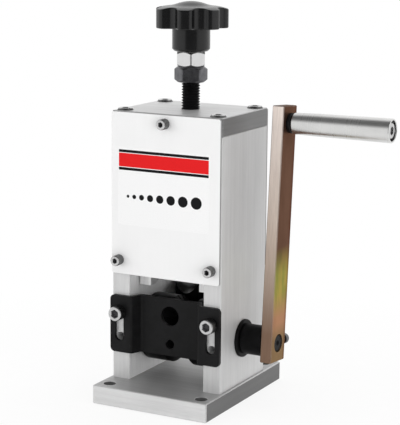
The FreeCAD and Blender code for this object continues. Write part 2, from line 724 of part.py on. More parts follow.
def make_spindle():
    """Threaded spindle with a neck and button held by the retainer plate on the carrier."""
    thread = "spindle_thread / 2"
    button_bottom = f"{CARRIER_TOP} - spindle_button_height - slide_gap"
    button_top = f"{CARRIER_TOP} - slide_gap"
    top = f"{KNOB_BOTTOM} + insert_length"
    neck = "spindle_neck / 2"
    profile = [("0", button_bottom), (f"{thread} - edge_break", button_bottom),
               (thread, f"{button_bottom} + edge_break"), (thread, button_top), (neck, button_top),
               (neck, f"{RETAINER_TOP} + slide_gap"), (thread, f"{RETAINER_TOP} + 4 * slide_gap"),
               (thread, f"{top} - 2 * edge_break"), (f"{thread} - 2 * edge_break", top), ("0", top)]
    piece(turned("threaded_spindle", profile).body, "threaded_spindle")

    plate = Body("retainer_plate")
    half_width = "retainer_width / 2"
    half_depth = "retainer_depth / 2"
    plate.pad("XY_Plane", CARRIER_TOP, RETAINER_TOP,
              rectangle(f"-{half_width}", half_width, f"-{half_depth}", half_depth))
    slot = f"({neck} + slide_gap)"
    plate.cut("XY_Plane", CARRIER_TOP, RETAINER_TOP, ("0", "0", slot))
    plate.cut("XY_Plane", CARRIER_TOP, RETAINER_TOP, rectangle(f"-{slot}", slot, "0", half_depth))
    plate.cut("XY_Plane", CARRIER_TOP, RETAINER_TOP, ("retainer_screw_pitch / 2", "0", SMALL_HOLE),
              ("-retainer_screw_pitch / 2", "0", SMALL_HOLE))
    piece(plate.body, "retainer_plate")
    screw = cap_screw("retainer_screw", "small", "retainer_thickness + small_grip - tap_runout")
    place(screw, "retainer_screw_pitch / 2", "0", RETAINER_TOP)
    group("retainer_screws", [screw, mirrored(screw, x=1)])


def nut_body(name, flats):
    """Hexagon nut with chamfered corners, standing on the XY plane with flats across X."""
    nut = Body(name)
    nut.pad("XY_Plane", "0", "nut_height", hexagon(flats))
    face = f"({flats} - nut_face_step) / 2"
    outside = f"({face} + 2 * {flats} / sqrt(3)) / 2"
    slope = f"({outside} - {face}) * tan(nut_chamfer_angle)"
    rim = [(face, f"nut_height + {flats}"), (face, "nut_height"), (outside, f"nut_height - {slope}"),
           (outside, f"nut_height + {flats}")]
    nut.revolve("XZ_Plane", "V_Axis", rim, kind="Groove")
    foot = [(face, f"-{flats}"), (face, "0"), (outside, slope), (outside, f"-{flats}")]
    nut.revolve("XZ_Plane", "V_Axis", foot, kind="Groove")
    nut.cut("XY_Plane", "0", "nut_height", ("0", "0", "spindle_thread / 2 + thread_fit"))
    return nut.body


def make_nuts():
    """Black lock nut and the plated nut jammed above it, half a flat further round."""
    lock_nut = nut_body("lock_nut", "lock_nut_flats")
    piece(place(lock_nut, z=NUT_BOTTOM, rotation=about_z("lock_nut_turn")), "lock_nut")
    plated_nut = nut_body("plated_nut", "plated_nut_flats")
    place(plated_nut, z=f"{NUT_BOTTOM} + nut_height", rotation=about_z("plated_nut_turn"))
    piece(plated_nut, "plated_nut")


def make_knob():
    """Seven-lobed star knob with a round cap rising from its top, over a threaded steel insert."""
    rim = "knob_diameter / 2"
    boss = "knob_boss_diameter / 2"
    edge = "knob_rim_edge"
    rim_top = "knob_height - knob_rim_drop"
    rim_low = f"{rim_top} - knob_rim_height"
    cap = "knob_cap_diameter / 2"
    cap_low = f"knob_height - knob_cap_radius + sqrt(knob_cap_radius ^ 2 - ({cap}) ^ 2)"
    socket = "insert_diameter / 2 + press_fit"
    rim_face = f"{rim} - {edge}"
    profile = [("0", "insert_length"), (socket, "insert_length"), (socket, "0"),
               (f"{boss} - knob_boss_chamfer", "0"), (boss, "knob_boss_chamfer"), (boss, rim_low),
               (rim_face, rim_low), (rim, f"{rim_low} + {edge}"), (rim, f"{rim_top} - {edge}"),
               (rim_face, rim_top, "knob_shelf_radius"), (cap, cap_low, "knob_cap_radius"),
               ("0", "knob_height")]
    knob = turned("star_knob", profile)
    hollow = (f"{rim} + knob_scallop_radius - knob_scallop_depth", "0", "knob_scallop_radius")
    knob.cut("XY_Plane", f"{rim_low} - {edge}", "knob_height", hollow)
    knob.repeat("N_Axis", "knob_lobes")
    knob.soften("Fillet", "knob_lobe_radius", is_lobe_corner)
    piece(place(knob.body, z=KNOB_BOTTOM, rotation=about_z("knob_turn")), "star_knob")
    insert = turned("knob_insert", rectangle("spindle_thread / 2 + thread_fit", "insert_diameter / 2",
                                             "0", "insert_length - end_gap"))
    piece(place(insert.body, z=KNOB_BOTTOM), "knob_insert")


# ---- Feed roller, shaft and bearings ----

def make_roller():
    """Grooved feed roller with teeth cut in the flanks of its groove, its key and thrust washers."""
    bore = "shaft_diameter / 2 + press_fit"
    end = ROLLER_END
    half = "groove_half_width"
    rim = "(roller_radius - 2 * edge_break)"
    profile = [(f"-{end}", bore), (end, bore),
               (end, rim), (f"{end} - 2 * edge_break", "roller_radius"), (half, "roller_radius"),
               ("groove_flat", "groove_radius"), ("-groove_flat", "groove_radius"),
               (f"-{half}", "roller_radius"), (f"-{end} + 2 * edge_break", "roller_radius"), (f"-{end}", rim)]
    roller = turned("feed_roller", profile, axis="x")
    key_half = "key_width / 2 + press_fit"
    key_top = "shaft_diameter / 2 - key_in_shaft + key_width + press_fit"
    roller.cut("YZ_Plane", f"-{end}", end, rectangle(f"-({key_half})", key_half, "0", key_top))
    outside = "roller_radius + tooth_depth"
    notch = [("groove_flat", "groove_radius"), ("groove_flat + tooth_depth", "groove_radius"),
             (f"{half} + tooth_depth", "roller_radius"), (f"{half} + tooth_depth", outside),
             (half, outside), (half, "roller_radius")]
    roller.cut("XY_Plane", "-tooth_gap / 2", "tooth_gap / 2", notch, opposite(notch))
    roller.repeat("H_Axis", "tooth_count")
    piece(place(roller.body, z="crank_height"), "feed_roller")

    key = Body("roller_key")
    low = "shaft_diameter / 2 - key_in_shaft"
    key.pad("YZ_Plane", "-key_length / 2", "key_length / 2",
            rectangle("-key_width / 2", "key_width / 2", low, f"{low} + key_width"))
    piece(place(key.body, z="crank_height"), "roller_key")

    washer = tube_along_x("thrust_washer", f"{WALL_INNER} - thrust_washer", WALL_INNER,
                          "thrust_washer_diameter / 2", "shaft_diameter / 2 + 2 * running_fit", "end_gap")
    place(washer.body, z="crank_height")
    group("thrust_washers", [washer.body, mirrored(washer.body, x=1)])


def make_shaft():
    """Feed shaft with a keyway and a stepped end for the crank arm."""
    left = "-housing_width / 2 + edge_break"
    radius = "shaft_diameter / 2"
    stub = "shaft_end_diameter / 2"
    step = f"{ARM_INNER} - slide_gap"
    end = f"{ARM_OUTER} - shaft_end_recess"
    centre_mark = "shaft_end_diameter / 6"
    profile = [(left, "0"), (left, f"{radius} - edge_break"), (f"{left} + edge_break", radius),
               (step, radius), (step, stub), (f"{end} - 2 * edge_break", stub),
               (end, f"{stub} - 2 * edge_break"), (end, centre_mark), (f"{end} - {centre_mark}", "0")]
    shaft = turned("feed_shaft", profile, axis="x")
    shaft.cut("YZ_Plane", "-key_length / 2 - end_gap", "key_length / 2 + end_gap",
              rectangle("-key_width / 2 - press_fit", "key_width / 2 + press_fit",
                        f"{radius} - key_in_shaft", f"{radius} + key_in_shaft"))
    piece(place(shaft.body, z="crank_height"), "feed_shaft")


def make_bushes():
    """Flanged bushes pressed in the side plates, mirror images."""
    bore = "shaft_diameter / 2 + running_fit"
    outer = "bush_diameter / 2"
    flange = "bush_flange_diameter / 2"
    wall = "housing_width / 2"
    inner_end = f"{WALL_INNER} + end_gap"
    face = f"{wall} + bush_flange"
    profile = [(inner_end, bore), (face, bore), (face, f"{flange} - edge_break"),
               (f"{face} - edge_break", flange), (wall, flange), (wall, outer), (inner_end, outer)]
    bush = turned("right_bush", profile, axis="x")
    piece(place(bush.body, z="crank_height"), "right_bush")
    piece(mirrored(bush.body, x=1), "left_bush")


def make_collar():
    """Black collar on the shaft between the bush and the arm, with its grub screw from behind."""
    end = f"{COLLAR_START} + collar_length"
    middle = f"{COLLAR_START} + collar_length / 2"
    collar = tube_along_x("crank_collar", COLLAR_START, end, "collar_diameter / 2",
                          "shaft_diameter / 2 + press_fit")
    collar.cut("XZ_Plane", "shaft_diameter / 2", "collar_diameter / 2", (middle, "0", SMALL_TAP))
    piece(place(collar.body, z="crank_height"), "crank_collar")
    length = "(collar_diameter - shaft_diameter) / 2 - end_gap"
    grub = turned("collar_grub_screw", rectangle("0", "small_thread / 2", "0", length))
    grub.cut("XY_Plane", "edge_break", length, hexagon("small_thread / 2"))
    place(grub.body, middle, "shaft_diameter / 2 + end_gap", "crank_height", HEAD_BACK)
    piece(grub.body, "collar_grub_screw")


# ---- Crank arm and handle, drawn upright about the shaft and leaned together ----

def lean(thing, label):
    """Set an upright crank piece at the crank axis, leaned back."""
    turn = Rotation(Vector(1, 0, 0), -number("arm_lean"))
    thing.Placement = FreeCAD.Placement(Vector(0, 0, number("crank_height")), turn)
    return piece(thing, label)


def raised(body, rotation=None, x="0", y="0", z="0"):
    """Compound that holds one body away from the crank axis, so that the whole can be leaned."""
    place(body, x, y, z, rotation)
    body.Label = f"{body.Label}_upright"
    holder = doc.addObject("Part::Compound", f"{body.Name}_holder")
    holder.Links = [body]
    return holder


def make_arm():
    """Flat bar with the shaft hole, the handle's tapped hole and the clamp screw's hole."""
    arm = Body("crank_arm")
    arm.pad("YZ_Plane", ARM_INNER, ARM_OUTER,
            rectangle("-arm_width / 2", "arm_width / 2", "-arm_foot", "arm_centres + arm_top"))
    arm.soften("Chamfer", "edge_break", is_outer)
    arm.cut("YZ_Plane", ARM_INNER, ARM_OUTER, ("0", "0", "shaft_end_diameter / 2 + press_fit"))
    arm.cut("YZ_Plane", ARM_INNER, ARM_OUTER, ("0", "arm_centres", LARGE_TAP))
    middle = f"({ARM_INNER} + arm_thickness / 2)"
    arm.cut("XZ_Plane", "shaft_end_diameter / 2", "arm_width / 2", (middle, "0", SMALL_TAP))
    lean(arm.body, "crank_arm")

    clamp = cap_screw("clamp_screw", "small", "(arm_width - shaft_end_diameter) / 2 + clamp_proud - end_gap")
    holder = raised(clamp, HEAD_BACK, x=middle, y="arm_width / 2 + clamp_proud")
    lean(holder, "arm_clamp_screw")


def make_handle():
    """Tapered sleeve that spins on a shoulder pin screwed into the arm."""
    axis = {"z": "arm_centres"}
    pin_radius = "handle_pin_diameter / 2"
    seat = f"{HANDLE_END} - handle_recess_depth"
    head = "handle_pin_head / 2"
    head_inner = f"{seat} + slide_gap"
    head_outer = f"{seat} + slide_gap + handle_pin_head_height"
    thread_end = f"{ARM_INNER} + edge_break"
    profile = [(thread_end, "0"), (thread_end, "large_thread / 2"), (ARM_OUTER, "large_thread / 2"),
               (ARM_OUTER, pin_radius), (head_inner, pin_radius), (head_inner, head),
               (f"{head_outer} - edge_break", head), (head_outer, f"{head} - edge_break"), (head_outer, "0")]
    handle_pin = turned("handle_pin", profile, axis="x")
    handle_pin.cut("YZ_Plane", f"{head_outer} - handle_pin_head_height", head_outer, hexagon("large_socket"))
    lean(raised(handle_pin.body, **axis), "handle_pin")

    washer = tube_along_x("handle_washer", ARM_OUTER, f"{ARM_OUTER} + handle_washer_thickness",
                          "handle_washer_diameter / 2", f"{pin_radius} + press_fit")
    lean(raised(washer.body, **axis), "handle_washer")

    bush_seat = "handle_bush_diameter / 2 + press_fit"
    recess = "handle_recess_diameter / 2"
    small = "handle_small_diameter / 2"
    large = "handle_large_diameter / 2"
    profile = [(HANDLE_START, bush_seat), (seat, bush_seat), (seat, recess), (HANDLE_END, recess),
               (HANDLE_END, f"{large} - edge_break"), (f"{HANDLE_END} - edge_break", large),
               (f"{HANDLE_START} + edge_break", small), (HANDLE_START, f"{small} - edge_break")]
    sleeve = turned("handle_sleeve", profile, axis="x")
    lean(raised(sleeve.body, **axis), "handle_sleeve")

    bore = f"{pin_radius} + running_fit"
    outer = "handle_bush_diameter / 2"
    inner_end = f"{HANDLE_START} + handle_bush_length"
    inner_bush = tube_along_x("inner_handle_bush", HANDLE_START, inner_end, outer, bore)
    outer_bush = tube_along_x("outer_handle_bush", f"{seat} - handle_bush_length", seat, outer, bore)
    holders = [raised(bush.body, **axis) for bush in (inner_bush, outer_bush)]
    pair = doc.addObject("Part::Compound", "handle_bush_pair")
    pair.Links = holders
    lean(pair, "handle_bushes")


def check_document():
    """Stop if any object failed to build or any piece is empty or invalid."""
    doc.recompute()
    for thing in doc.Objects:
        if "Invalid" in thing.State or "Error" in thing.State:
            raise RuntimeError(f"{thing.Name} ({thing.Label}) failed: {thing.State}")
    for thing in pieces:
        if thing.Shape.isNull() or not thing.Shape.isValid():
            raise RuntimeError(f"{thing.Label} has no valid shape")


make_base_plate()
make_side_plates()
make_top_plate()
make_covers()
make_label()
make_frame_screws()
make_wire_guides()
make_carrier()
make_blade()
make_spindle()
make_nuts()
make_knob()
make_roller()
make_shaft()
make_bushes()
make_collar()
make_arm()
make_handle()
check_document()

os.makedirs("parts", exist_ok=True)
for thing in pieces:
    thing.Shape.exportStep(f"parts/{thing.Label}.step")
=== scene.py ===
"""Hand crank wire stripper, dressed on its fixed frame.

Run as a script, it builds the detailed pieces and finishes through the operators below.
Lengths are in metres; +Z is up, +X points to the crank and -Y is the front.
"""
import math

import bmesh
import bpy
from bpy.props import FloatProperty, FloatVectorProperty, IntProperty, PointerProperty
from mathutils import Matrix, Vector


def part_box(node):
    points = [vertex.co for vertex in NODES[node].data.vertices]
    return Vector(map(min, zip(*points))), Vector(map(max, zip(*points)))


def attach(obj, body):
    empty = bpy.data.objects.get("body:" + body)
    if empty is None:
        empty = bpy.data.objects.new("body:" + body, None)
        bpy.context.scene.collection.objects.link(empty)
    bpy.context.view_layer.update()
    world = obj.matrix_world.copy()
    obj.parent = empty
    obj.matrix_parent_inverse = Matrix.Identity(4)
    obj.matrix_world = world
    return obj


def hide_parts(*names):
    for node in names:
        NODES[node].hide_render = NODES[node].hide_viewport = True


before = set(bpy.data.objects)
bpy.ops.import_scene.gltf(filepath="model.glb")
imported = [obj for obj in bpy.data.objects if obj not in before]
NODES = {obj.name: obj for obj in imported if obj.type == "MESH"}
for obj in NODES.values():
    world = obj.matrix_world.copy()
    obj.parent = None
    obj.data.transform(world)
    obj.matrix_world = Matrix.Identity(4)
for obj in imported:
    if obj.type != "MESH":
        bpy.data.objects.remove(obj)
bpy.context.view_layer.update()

bl_info = {
    "name": "Wire stripper dresser",
    "version": (1, 0, 0),
    "blender": (4, 5, 0),
    "location": "3D View > Sidebar > Wire Stripper",
    "description": "Builds the detailed pieces and finishes of a hand crank wire stripper",
    "category": "Object",
}

MM = 0.001

# Level direction from the machine to its front right, where the studio is dark.
AHEAD_X, AHEAD_Y = 0.476, -0.88


def colour(name, description, value):
    """A colour property of the panel."""
    return FloatVectorProperty(name=name, description=description, subtype="COLOR", size=3,
                               min=0, max=1, default=value)


def length(name, description, value):
    """A length property of the panel, given in millimetres."""
    return FloatProperty(name=name, description=description, subtype="DISTANCE", unit="LENGTH",
                         min=0, default=value * MM)


def whole(name, description, value, least):
    """A whole number of the panel."""
    return IntProperty(name=name, description=description, default=value, min=least)


class StripperSizes(bpy.types.PropertyGroup):
    """Sizes of the details that the dressed pieces add to the frame."""

    thread_pitch: length("Thread pitch", "Pitch of the spindle's thread", 1.75)
    thread_depth: length("Thread depth", "Depth of the spindle's thread", 0.8)
    plate_edge: length("Plate edge", "Width of the broken edges of the thick plates", 0.35)
    sheet_edge: length("Sheet edge", "Width of the rounded edges of the sheet pieces", 0.3)
    arm_edge: length("Arm edge", "Width of the rounded edges of the crank arm", 0.7)
    knurl_depth: length("Knurl depth", "Depth of the knurl on the screw heads", 0.16)
    knob_edge: length("Knob edge", "Moulding radius of the star knob", 0.7)
    label_corner: length("Label corner", "Corner radius of the front label", 1.2)
    knurl_ridges: whole("Knurl ridges", "Ridges round a screw head", 32, 8)
    lobes: whole("Knob lobes", "Lobes of the star knob", 7, 3)


class StripperColours(bpy.types.PropertyGroup):
    """Colours of the finishes."""

    wall: colour("Side plates", "Brushed aluminium of the side plates", (0.62, 0.62, 0.62))
    top: colour("Top plate", "Brushed aluminium of the top plate", (0.66, 0.66, 0.66))
    sawn: colour("Sawn sides", "Sawn and milled sides of the top plate", (0.19, 0.19, 0.19))
    base: colour("Base plate", "Sawn and brushed aluminium of the base", (0.68, 0.68, 0.68))
    cover: colour("Covers", "Satin sheet of the covers", (0.82, 0.82, 0.82))
    film: colour("Label film", "White film of the label", (0.86, 0.86, 0.86))
    ink: colour("Label ink", "Dark ink of the label", (0.006, 0.006, 0.007))
    band: colour("Label band", "Band across the label", (0.72, 0.012, 0.014))
    oxide: colour("Black steel", "Blackened steel", (0.005, 0.005, 0.0053))
    zinc: colour("Zinc", "Bright zinc plating", (0.62, 0.62, 0.62))
    passivated: colour("Passivated zinc", "Brown of the yellow passivated arm", (0.15, 0.084, 0.06))
    polished: colour("Polished steel", "Polished steel of the handle", (0.75, 0.75, 0.74))
    plastic: colour("Knob plastic", "Black moulding of the star knob", (0.0032, 0.0032, 0.0034))
    bronze: colour("Bronze", "Sintered bronze of the bushes", (0.42, 0.24, 0.09))


# ---- Shader building ----

class Value:
    """An output socket that can be used in an expression."""

    def __init__(self, finish, socket):
        self.finish = finish
        self.socket = socket

    def maths(self, operation, first, second):
        """Result of a maths node on two values or numbers."""
        made = self.finish.node("ShaderNodeMath", {"operation": operation}, {0: first, 1: second})
        return made.value()

    def __add__(self, other):
        return self.maths("ADD", self, other)

    def __radd__(self, other):
        return self.maths("ADD", other, self)

    def __sub__(self, other):
        return self.maths("SUBTRACT", self, other)

    def __rsub__(self, other):
        return self.maths("SUBTRACT", other, self)

    def __mul__(self, other):
        return self.maths("MULTIPLY", self, other)

    def __rmul__(self, other):
        return self.maths("MULTIPLY", other, self)


class Node:
    """A shader node with its outputs as values."""

    def __init__(self, finish, node):
        self.finish = finish
        self.node = node

    def value(self, output=0):
        """An output of the node, by number or by name."""
        return Value(self.finish, self.node.outputs[output])


class Shading:
    """A node tree built from expressions."""

    def __init__(self, tree):
        self.tree = tree

    def plug(self, socket, value):
        """Link a value to a socket, or set the socket to a number or a colour."""
        if isinstance(value, Value):
            self.tree.links.new(value.socket, socket)
        elif hasattr(value, "__len__"):
            filled = tuple(value)
            opaque = (1.0,) if len(filled) < len(socket.default_value) else ()
            socket.default_value = filled + opaque
        else:
            socket.default_value = value

    def node(self, kind, settings=None, inputs=None):
        """Make a node of a type with its settings, then fill its sockets."""
        made = self.tree.nodes.new(kind)
        for name, setting in (settings or {}).items():
            setattr(made, name, setting)
        for name, value in (inputs or {}).items():
            self.plug(made.inputs[name], value)
        return Node(self, made)

    def axes_of(self, vector):
        """X, Y and Z of a vector."""
        parts = self.node("ShaderNodeSeparateXYZ", None, {0: vector})
        return [parts.value(axis) for axis in range(3)]

    def span(self, value, low, high, start=0.0, end=1.0):
        """The value's course from low to high, as start to end, held at both ends."""
        made = self.node("ShaderNodeMapRange", {"clamp": True},
                         {0: value, 1: low, 2: high, 3: start, 4: end})
        return made.value()


class Finish(Shading):
    """A surface material."""

    def __init__(self, name):
        self.material = bpy.data.materials.new(name)
        self.material.use_nodes = True
        super().__init__(self.material.node_tree)
        self.shader = self.tree.nodes["Principled BSDF"]

    def set(self, socket, value):
        """Give a value, a link or a colour to a socket of the surface shader."""
        self.plug(self.shader.inputs[socket], value)

    def place(self, *scales):
        """Position on the piece, in metres, multiplied by a scale for each axis."""
        where = self.node("ShaderNodeTexCoord").value("Object")
        made = self.node("ShaderNodeVectorMath", {"operation": "MULTIPLY"}, {0: where, 1: scales})
        return made.value()

    def axes(self):
        """X, Y and Z of the position, in millimetres."""
        return self.axes_of(self.place(1 / MM, 1 / MM, 1 / MM))

    def noise(self, scales, detail=3.0):
        """Noise from 0 to 1, with its waves per metre along each axis."""
        made = self.node("ShaderNodeTexNoise", None, {"Vector": self.place(*scales), "Scale": 1.0,
                                                      "Detail": detail, "Roughness": 0.55})
        return made.value("Fac")

    def mix(self, factor, first, second, blend="MIX"):
        """Mix of two colours."""
        made = self.node("ShaderNodeMix", {"data_type": "RGBA", "blend_type": blend},
                         {0: factor, 6: first, 7: second})
        return made.value(2)

    def bump(self, height, strength, distance):
        """Raise the surface by a height."""
        made = self.node("ShaderNodeBump", None,
                         {"Height": height, "Strength": strength, "Distance": distance})
        self.set("Normal", made.value("Normal"))


def shade(tone, factor):
    """A colour made lighter or darker by a factor."""
    return tuple(min(1.0, channel * factor) for channel in tone)


# ---- Mesh building ----

def ring(radius, height, steps):
    """Points round the Z axis.

    The radius may be a function of the angle, and the height one of the radius there.
    """
    if radius == 0:
        return [Vector((0, 0, height))]
    points = []
    for step in range(steps):
        angle = 2 * math.pi * step / steps
        reach = radius(angle) if callable(radius) else radius
        rise = height(reach) if callable(height) else height
        points.append(Vector((reach * math.cos(angle), reach * math.sin(angle), rise)))
    return points


def turned(profile, steps):
    """Rings of a turned piece from its radii and heights."""
    return [ring(radius, height, steps) for radius, height in profile]


def loft(bm, rings, place=None, finishes=()):
    """Skin rings of points one to the next; a ring of one point closes the skin."""
    placed = [[bm.verts.new(place @ point if place else point) for point in points]
              for points in rings]
    for index, (low, high) in enumerate(zip(placed, placed[1:])):
        steps = max(len(low), len(high))
        for step in range(steps):
            after = (step + 1) % steps
            corners = (low[step % len(low)], low[after % len(low)],
                       high[after % len(high)], high[step % len(high)])
            face = bm.faces.new(list(dict.fromkeys(corners)))
            face.material_index = finishes[index] if index < len(finishes) else 0


def keep(name, bm, materials, body, replaced, sharp=32):
    """Make a piece of a mesh, shade it and let it ride on its body in place of a node."""
    bmesh.ops.remove_doubles(bm, verts=bm.verts, dist=1e-7)
    bmesh.ops.recalc_face_normals(bm, faces=bm.faces)
    mesh = bpy.data.meshes.new(name)
    bm.to_mesh(mesh)
    bm.free()
    for material in materials:
        mesh.materials.append(material)
    mesh.shade_smooth()
    mesh.set_sharp_from_angle(angle=math.radians(sharp))
    piece = bpy.data.objects.new(name, mesh)
    bpy.context.scene.collection.objects.link(piece)
    piece.modifiers.new("Flat faces", "WEIGHTED_NORMAL").keep_sharp = True
    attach(piece, body)
    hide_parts(*replaced)


def dress(node, finish, edge=0.0, edge_finish=None):
    """Give a node of the frame its finish and, with a width, edges rounded in their own finish."""
    piece = NODES[node]
    piece.data.materials.clear()
    piece.data.materials.append(finish)
    if edge:
        piece.data.materials.append(edge_finish or finish)
        weld = piece.modifiers.new("Weld", "WELD")
        weld.merge_threshold = 2e-6
        bevel = piece.modifiers.new("Edges", "BEVEL")
        bevel.width = edge
        bevel.segments = 2
        bevel.limit_method = "ANGLE"
        bevel.angle_limit = math.radians(28)
        bevel.material = 1
        bevel.use_clamp_overlap = True
        piece.modifiers.new("Flat faces", "WEIGHTED_NORMAL").keep_sharp = False


def hexagon(flats, rounding=0.0):
    """A hexagon as its radius at any angle, with its corners rounded down by a length."""
    def reach(angle):
        """Distance from the axis to the hexagon at an angle."""
        turn = (angle + math.pi / 6) % (math.pi / 3) - math.pi / 6
        return min(flats / 2 / math.cos(turn), flats / math.sqrt(3) - rounding)
    return reach


def cap_screw(bm, place, thread, head, height, socket, shank):
    """Socket cap screw with a knurled head, its bearing face at the place's origin."""
    sizes = bpy.context.scene.stripper_sizes
    edge = 0.05 * head
    smooth = head / 2 - sizes.knurl_depth

    def knurled(angle):
        """Radius of the head at an angle, with ridges."""
        depth = 0.5 + 0.5 * math.cos(sizes.knurl_ridges * angle)
        return head / 2 - sizes.knurl_depth * depth

    profile = [(0, -shank), (thread / 2 - edge, -shank), (thread / 2, edge - shank),
               (thread / 2, 0), (smooth - edge / 2, 0), (smooth, edge / 2), (knurled, edge),
               (knurled, height - 2.2 * edge), (smooth, height - 1.6 * edge),
               (smooth - 0.3 * edge, height - 0.6 * edge), (smooth - edge, height),
               (hexagon(socket * 1.1, 0.04 * socket), height),
               (hexagon(socket), height - 0.06 * socket), (hexagon(socket), height * 0.45),
               (0, height * 0.36)]
    # The knurled band takes its own finish, a darker zinc that is painted shade on the head's side.
    loft(bm, turned(profile, sizes.knurl_ridges * 3), place,
         [PLATING] * 5 + [SHADED_KNURL] * 4 + [PLATING] * 3 + [SOCKET] * 2)


def keep_screws(node, body, screws, finishes=None):
    """Make the cap screws of a node from their places, families and shanks in millimetres."""
    bm = bmesh.new()
    for place, family, shank in screws:
        cap_screw(bm, place, shank=shank * MM, **family)
    keep(node + "_knurled", bm, finishes or screw_finishes(), body, [node],
         sharp=38)


def stand(x, y, z, facing="up"):
    """Place of a screw's bearing face, with its head facing a way."""
    turns = {"up": 0, "down": 180, "front": 90, "back": -90}
    turn = math.radians(turns[facing])
    return Matrix.Translation((x, y, z)) @ Matrix.Rotation(turn, 4, "X")


# Families of cap screws, and the finishes on a screw's faces.
LARGE_SCREW = {"thread": 6 * MM, "head": 10 * MM, "height": 6 * MM, "socket": 5 * MM}
SMALL_SCREW = {"thread": 4 * MM, "head": 7 * MM, "height": 4 * MM, "socket": 3 * MM}
COVER_SCREW = {**SMALL_SCREW, "height": 6.3 * MM}
PLATING, SOCKET, SHADED_KNURL = range(3)

# The crank's axis and lean, and the places of the arm and of the handle on it.
SHAFT_HEIGHT = 42.5 * MM
CRANK_REACH = 143 * MM
LEAN_ANGLE = math.radians(4.5)
LEAN = Matrix.Translation((0, 0, SHAFT_HEIGHT)) @ Matrix.Rotation(-LEAN_ANGLE, 4, "X")
HANDLE = LEAN @ Matrix.Translation((0, 0, CRANK_REACH)) @ Matrix.Rotation(math.pi / 2, 4, "Y")


# ---- Finishes ----

# Half the spacing of the bench holes, in millimetres.
BENCH_HOLE_X, BENCH_HOLE_Y = 34, 46


def facing(finish, axis, low=0.45, high=0.55):
    """1 on the faces of the piece that look along an axis, 0 on the others."""
    part = finish.axes_of(finish.node("ShaderNodeTexCoord").value("Normal"))[axis]
    return finish.span(part * part, low, high)


def brushed(name, tone, grain, cross_grain, roughness=0.36, streak=0.1, metal=0.6, **tones):
    """Brushed aluminium: fine scratches and soft streaks along the grain, another grain on top.

    Level faces, faces to the sides, those inside the housing and the bores of the bench holes
    can have tones of their own. A lighter inner tone is painted light; darker side and bore
    tones are painted shade.
    """
    finish = Finish(name)
    level = facing(finish, 2)

    def grained(stretch, detail):
        """Noise along the grain of upright faces or of level ones."""
        upright, across = (finish.noise([stretch * scale for scale in scales], detail)
                           for scales in (grain, cross_grain))
        made = finish.node("ShaderNodeMix", {"data_type": "FLOAT"},
                           {0: level, 2: upright, 3: across})
        return made.value(0)

    fine, broad = grained(9, 4), grained(1, 3)
    stain = finish.noise((16, 16, 16), 4)
    wash = finish.span(broad, 0.3, 0.7, 1 - streak, 1 + streak)
    wash = wash * finish.span(fine, 0.3, 0.7, 0.95, 1.05)
    wash = wash * finish.span(stain, 0.35, 0.7, 1.03, 0.95)
    grey = finish.node("ShaderNodeCombineXYZ", None, {0: wash, 1: wash, 2: wash}).value()
    x, y, _ = finish.axes()
    # Faces inside the housing take the inner tone: painted light on the inner walls.
    inside = finish.span(x * x, 32 ** 2, 30 ** 2)
    side = finish.mix(inside, tones.get("side", tone), tones.get("inner", tone))
    upright = finish.mix(facing(finish, 0), tone, side)
    bare = finish.mix(level, upright, tones.get("level", tone))
    # The walls of the bench holes take the bore tone: painted shade inside the holes.
    if "bore" in tones:
        # Both are zero on a hole's axis, and together they stay under 440 squared on its wall.
        past_x, past_y = x * x - BENCH_HOLE_X ** 2, y * y - BENCH_HOLE_Y ** 2
        bore_shade_mask = finish.span(past_x * past_x + past_y * past_y, 460 ** 2, 440 ** 2)
        bare = finish.mix(bore_shade_mask * (1 - level), bare, tones["bore"])
    finish.set("Base Color", finish.mix(1.0, bare, grey, "MULTIPLY"))
    finish.set("Roughness", finish.span(fine, 0.3, 0.7, roughness - 0.05, roughness + 0.07))
    finish.set("Metallic", metal)
    finish.bump(fine, 0.12, 0.05 * MM)
    return finish.material


def sheet_white(name, tone):
    """Satin white sheet metal with a faint rolling grain, and its edge faces darkened with painted
    shade.
    """
    finish = Finish(name)
    grain = finish.noise((420, 420, 18), 3)
    stain = finish.noise((22, 22, 14), 3)
    pale = finish.mix(finish.span(stain, 0.35, 0.7), tone, shade(tone, 0.965))
    pale = finish.mix(finish.span(grain, 0.3, 0.7, 0, 0.3), pale, shade(tone, 0.96))
    # Faces that don't look along Y get a much darker tone: painted shade along the cover's edges.
    edge_shade = shade(tone, 0.36)
    finish.set("Base Color", finish.mix(facing(finish, 1), edge_shade, pale))
    finish.set("Roughness", finish.span(grain, 0.3, 0.7, 0.4, 0.5))
    finish.set("Specular IOR Level", 0.3)
    finish.bump(grain, 0.05, 0.03 * MM)
    return finish.material


def black_steel(name, tone, roughness=0.42, worn=0.0, gloss=0.15):
    """Blackened steel: satin, faintly mottled, greyer where it is worn."""
    finish = Finish(name)
    mottle = finish.noise((130, 130, 130), 5)
    grit = finish.noise((1500, 1500, 1500), 2)
    dark = finish.mix(finish.span(mottle, 0.35, 0.68), shade(tone, 0.75), shade(tone, 1.6))
    wear = finish.noise((420, 420, 420), 4)
    bare = finish.span(wear, 0.62 - worn, 0.8 - worn, 0, 0.08 + worn)
    finish.set("Base Color", finish.mix(bare, dark, (0.1, 0.1, 0.1)))
    finish.set("Roughness", finish.span(mottle, 0.3, 0.7, roughness - 0.06, roughness + 0.08))
    finish.set("Specular IOR Level", gloss)
    finish.bump(grit, 0.1, 0.03 * MM)
    return finish.material


def plated(name, tone, roughness=0.24, cloudy=0.84):
    """Zinc plating, clouded, with a fine grain."""
    finish = Finish(name)
    cloud = finish.noise((260, 260, 260), 3)
    grit = finish.noise((2600, 2600, 2600), 2)
    finish.set("Base Color", finish.mix(finish.span(cloud, 0.35, 0.7), tone, shade(tone, cloudy)))
    finish.set("Roughness", finish.span(grit, 0.3, 0.7, roughness - 0.05, roughness + 0.08))
    finish.set("Metallic", 1.0)
    finish.bump(grit, 0.08, 0.02 * MM)
    return finish.material


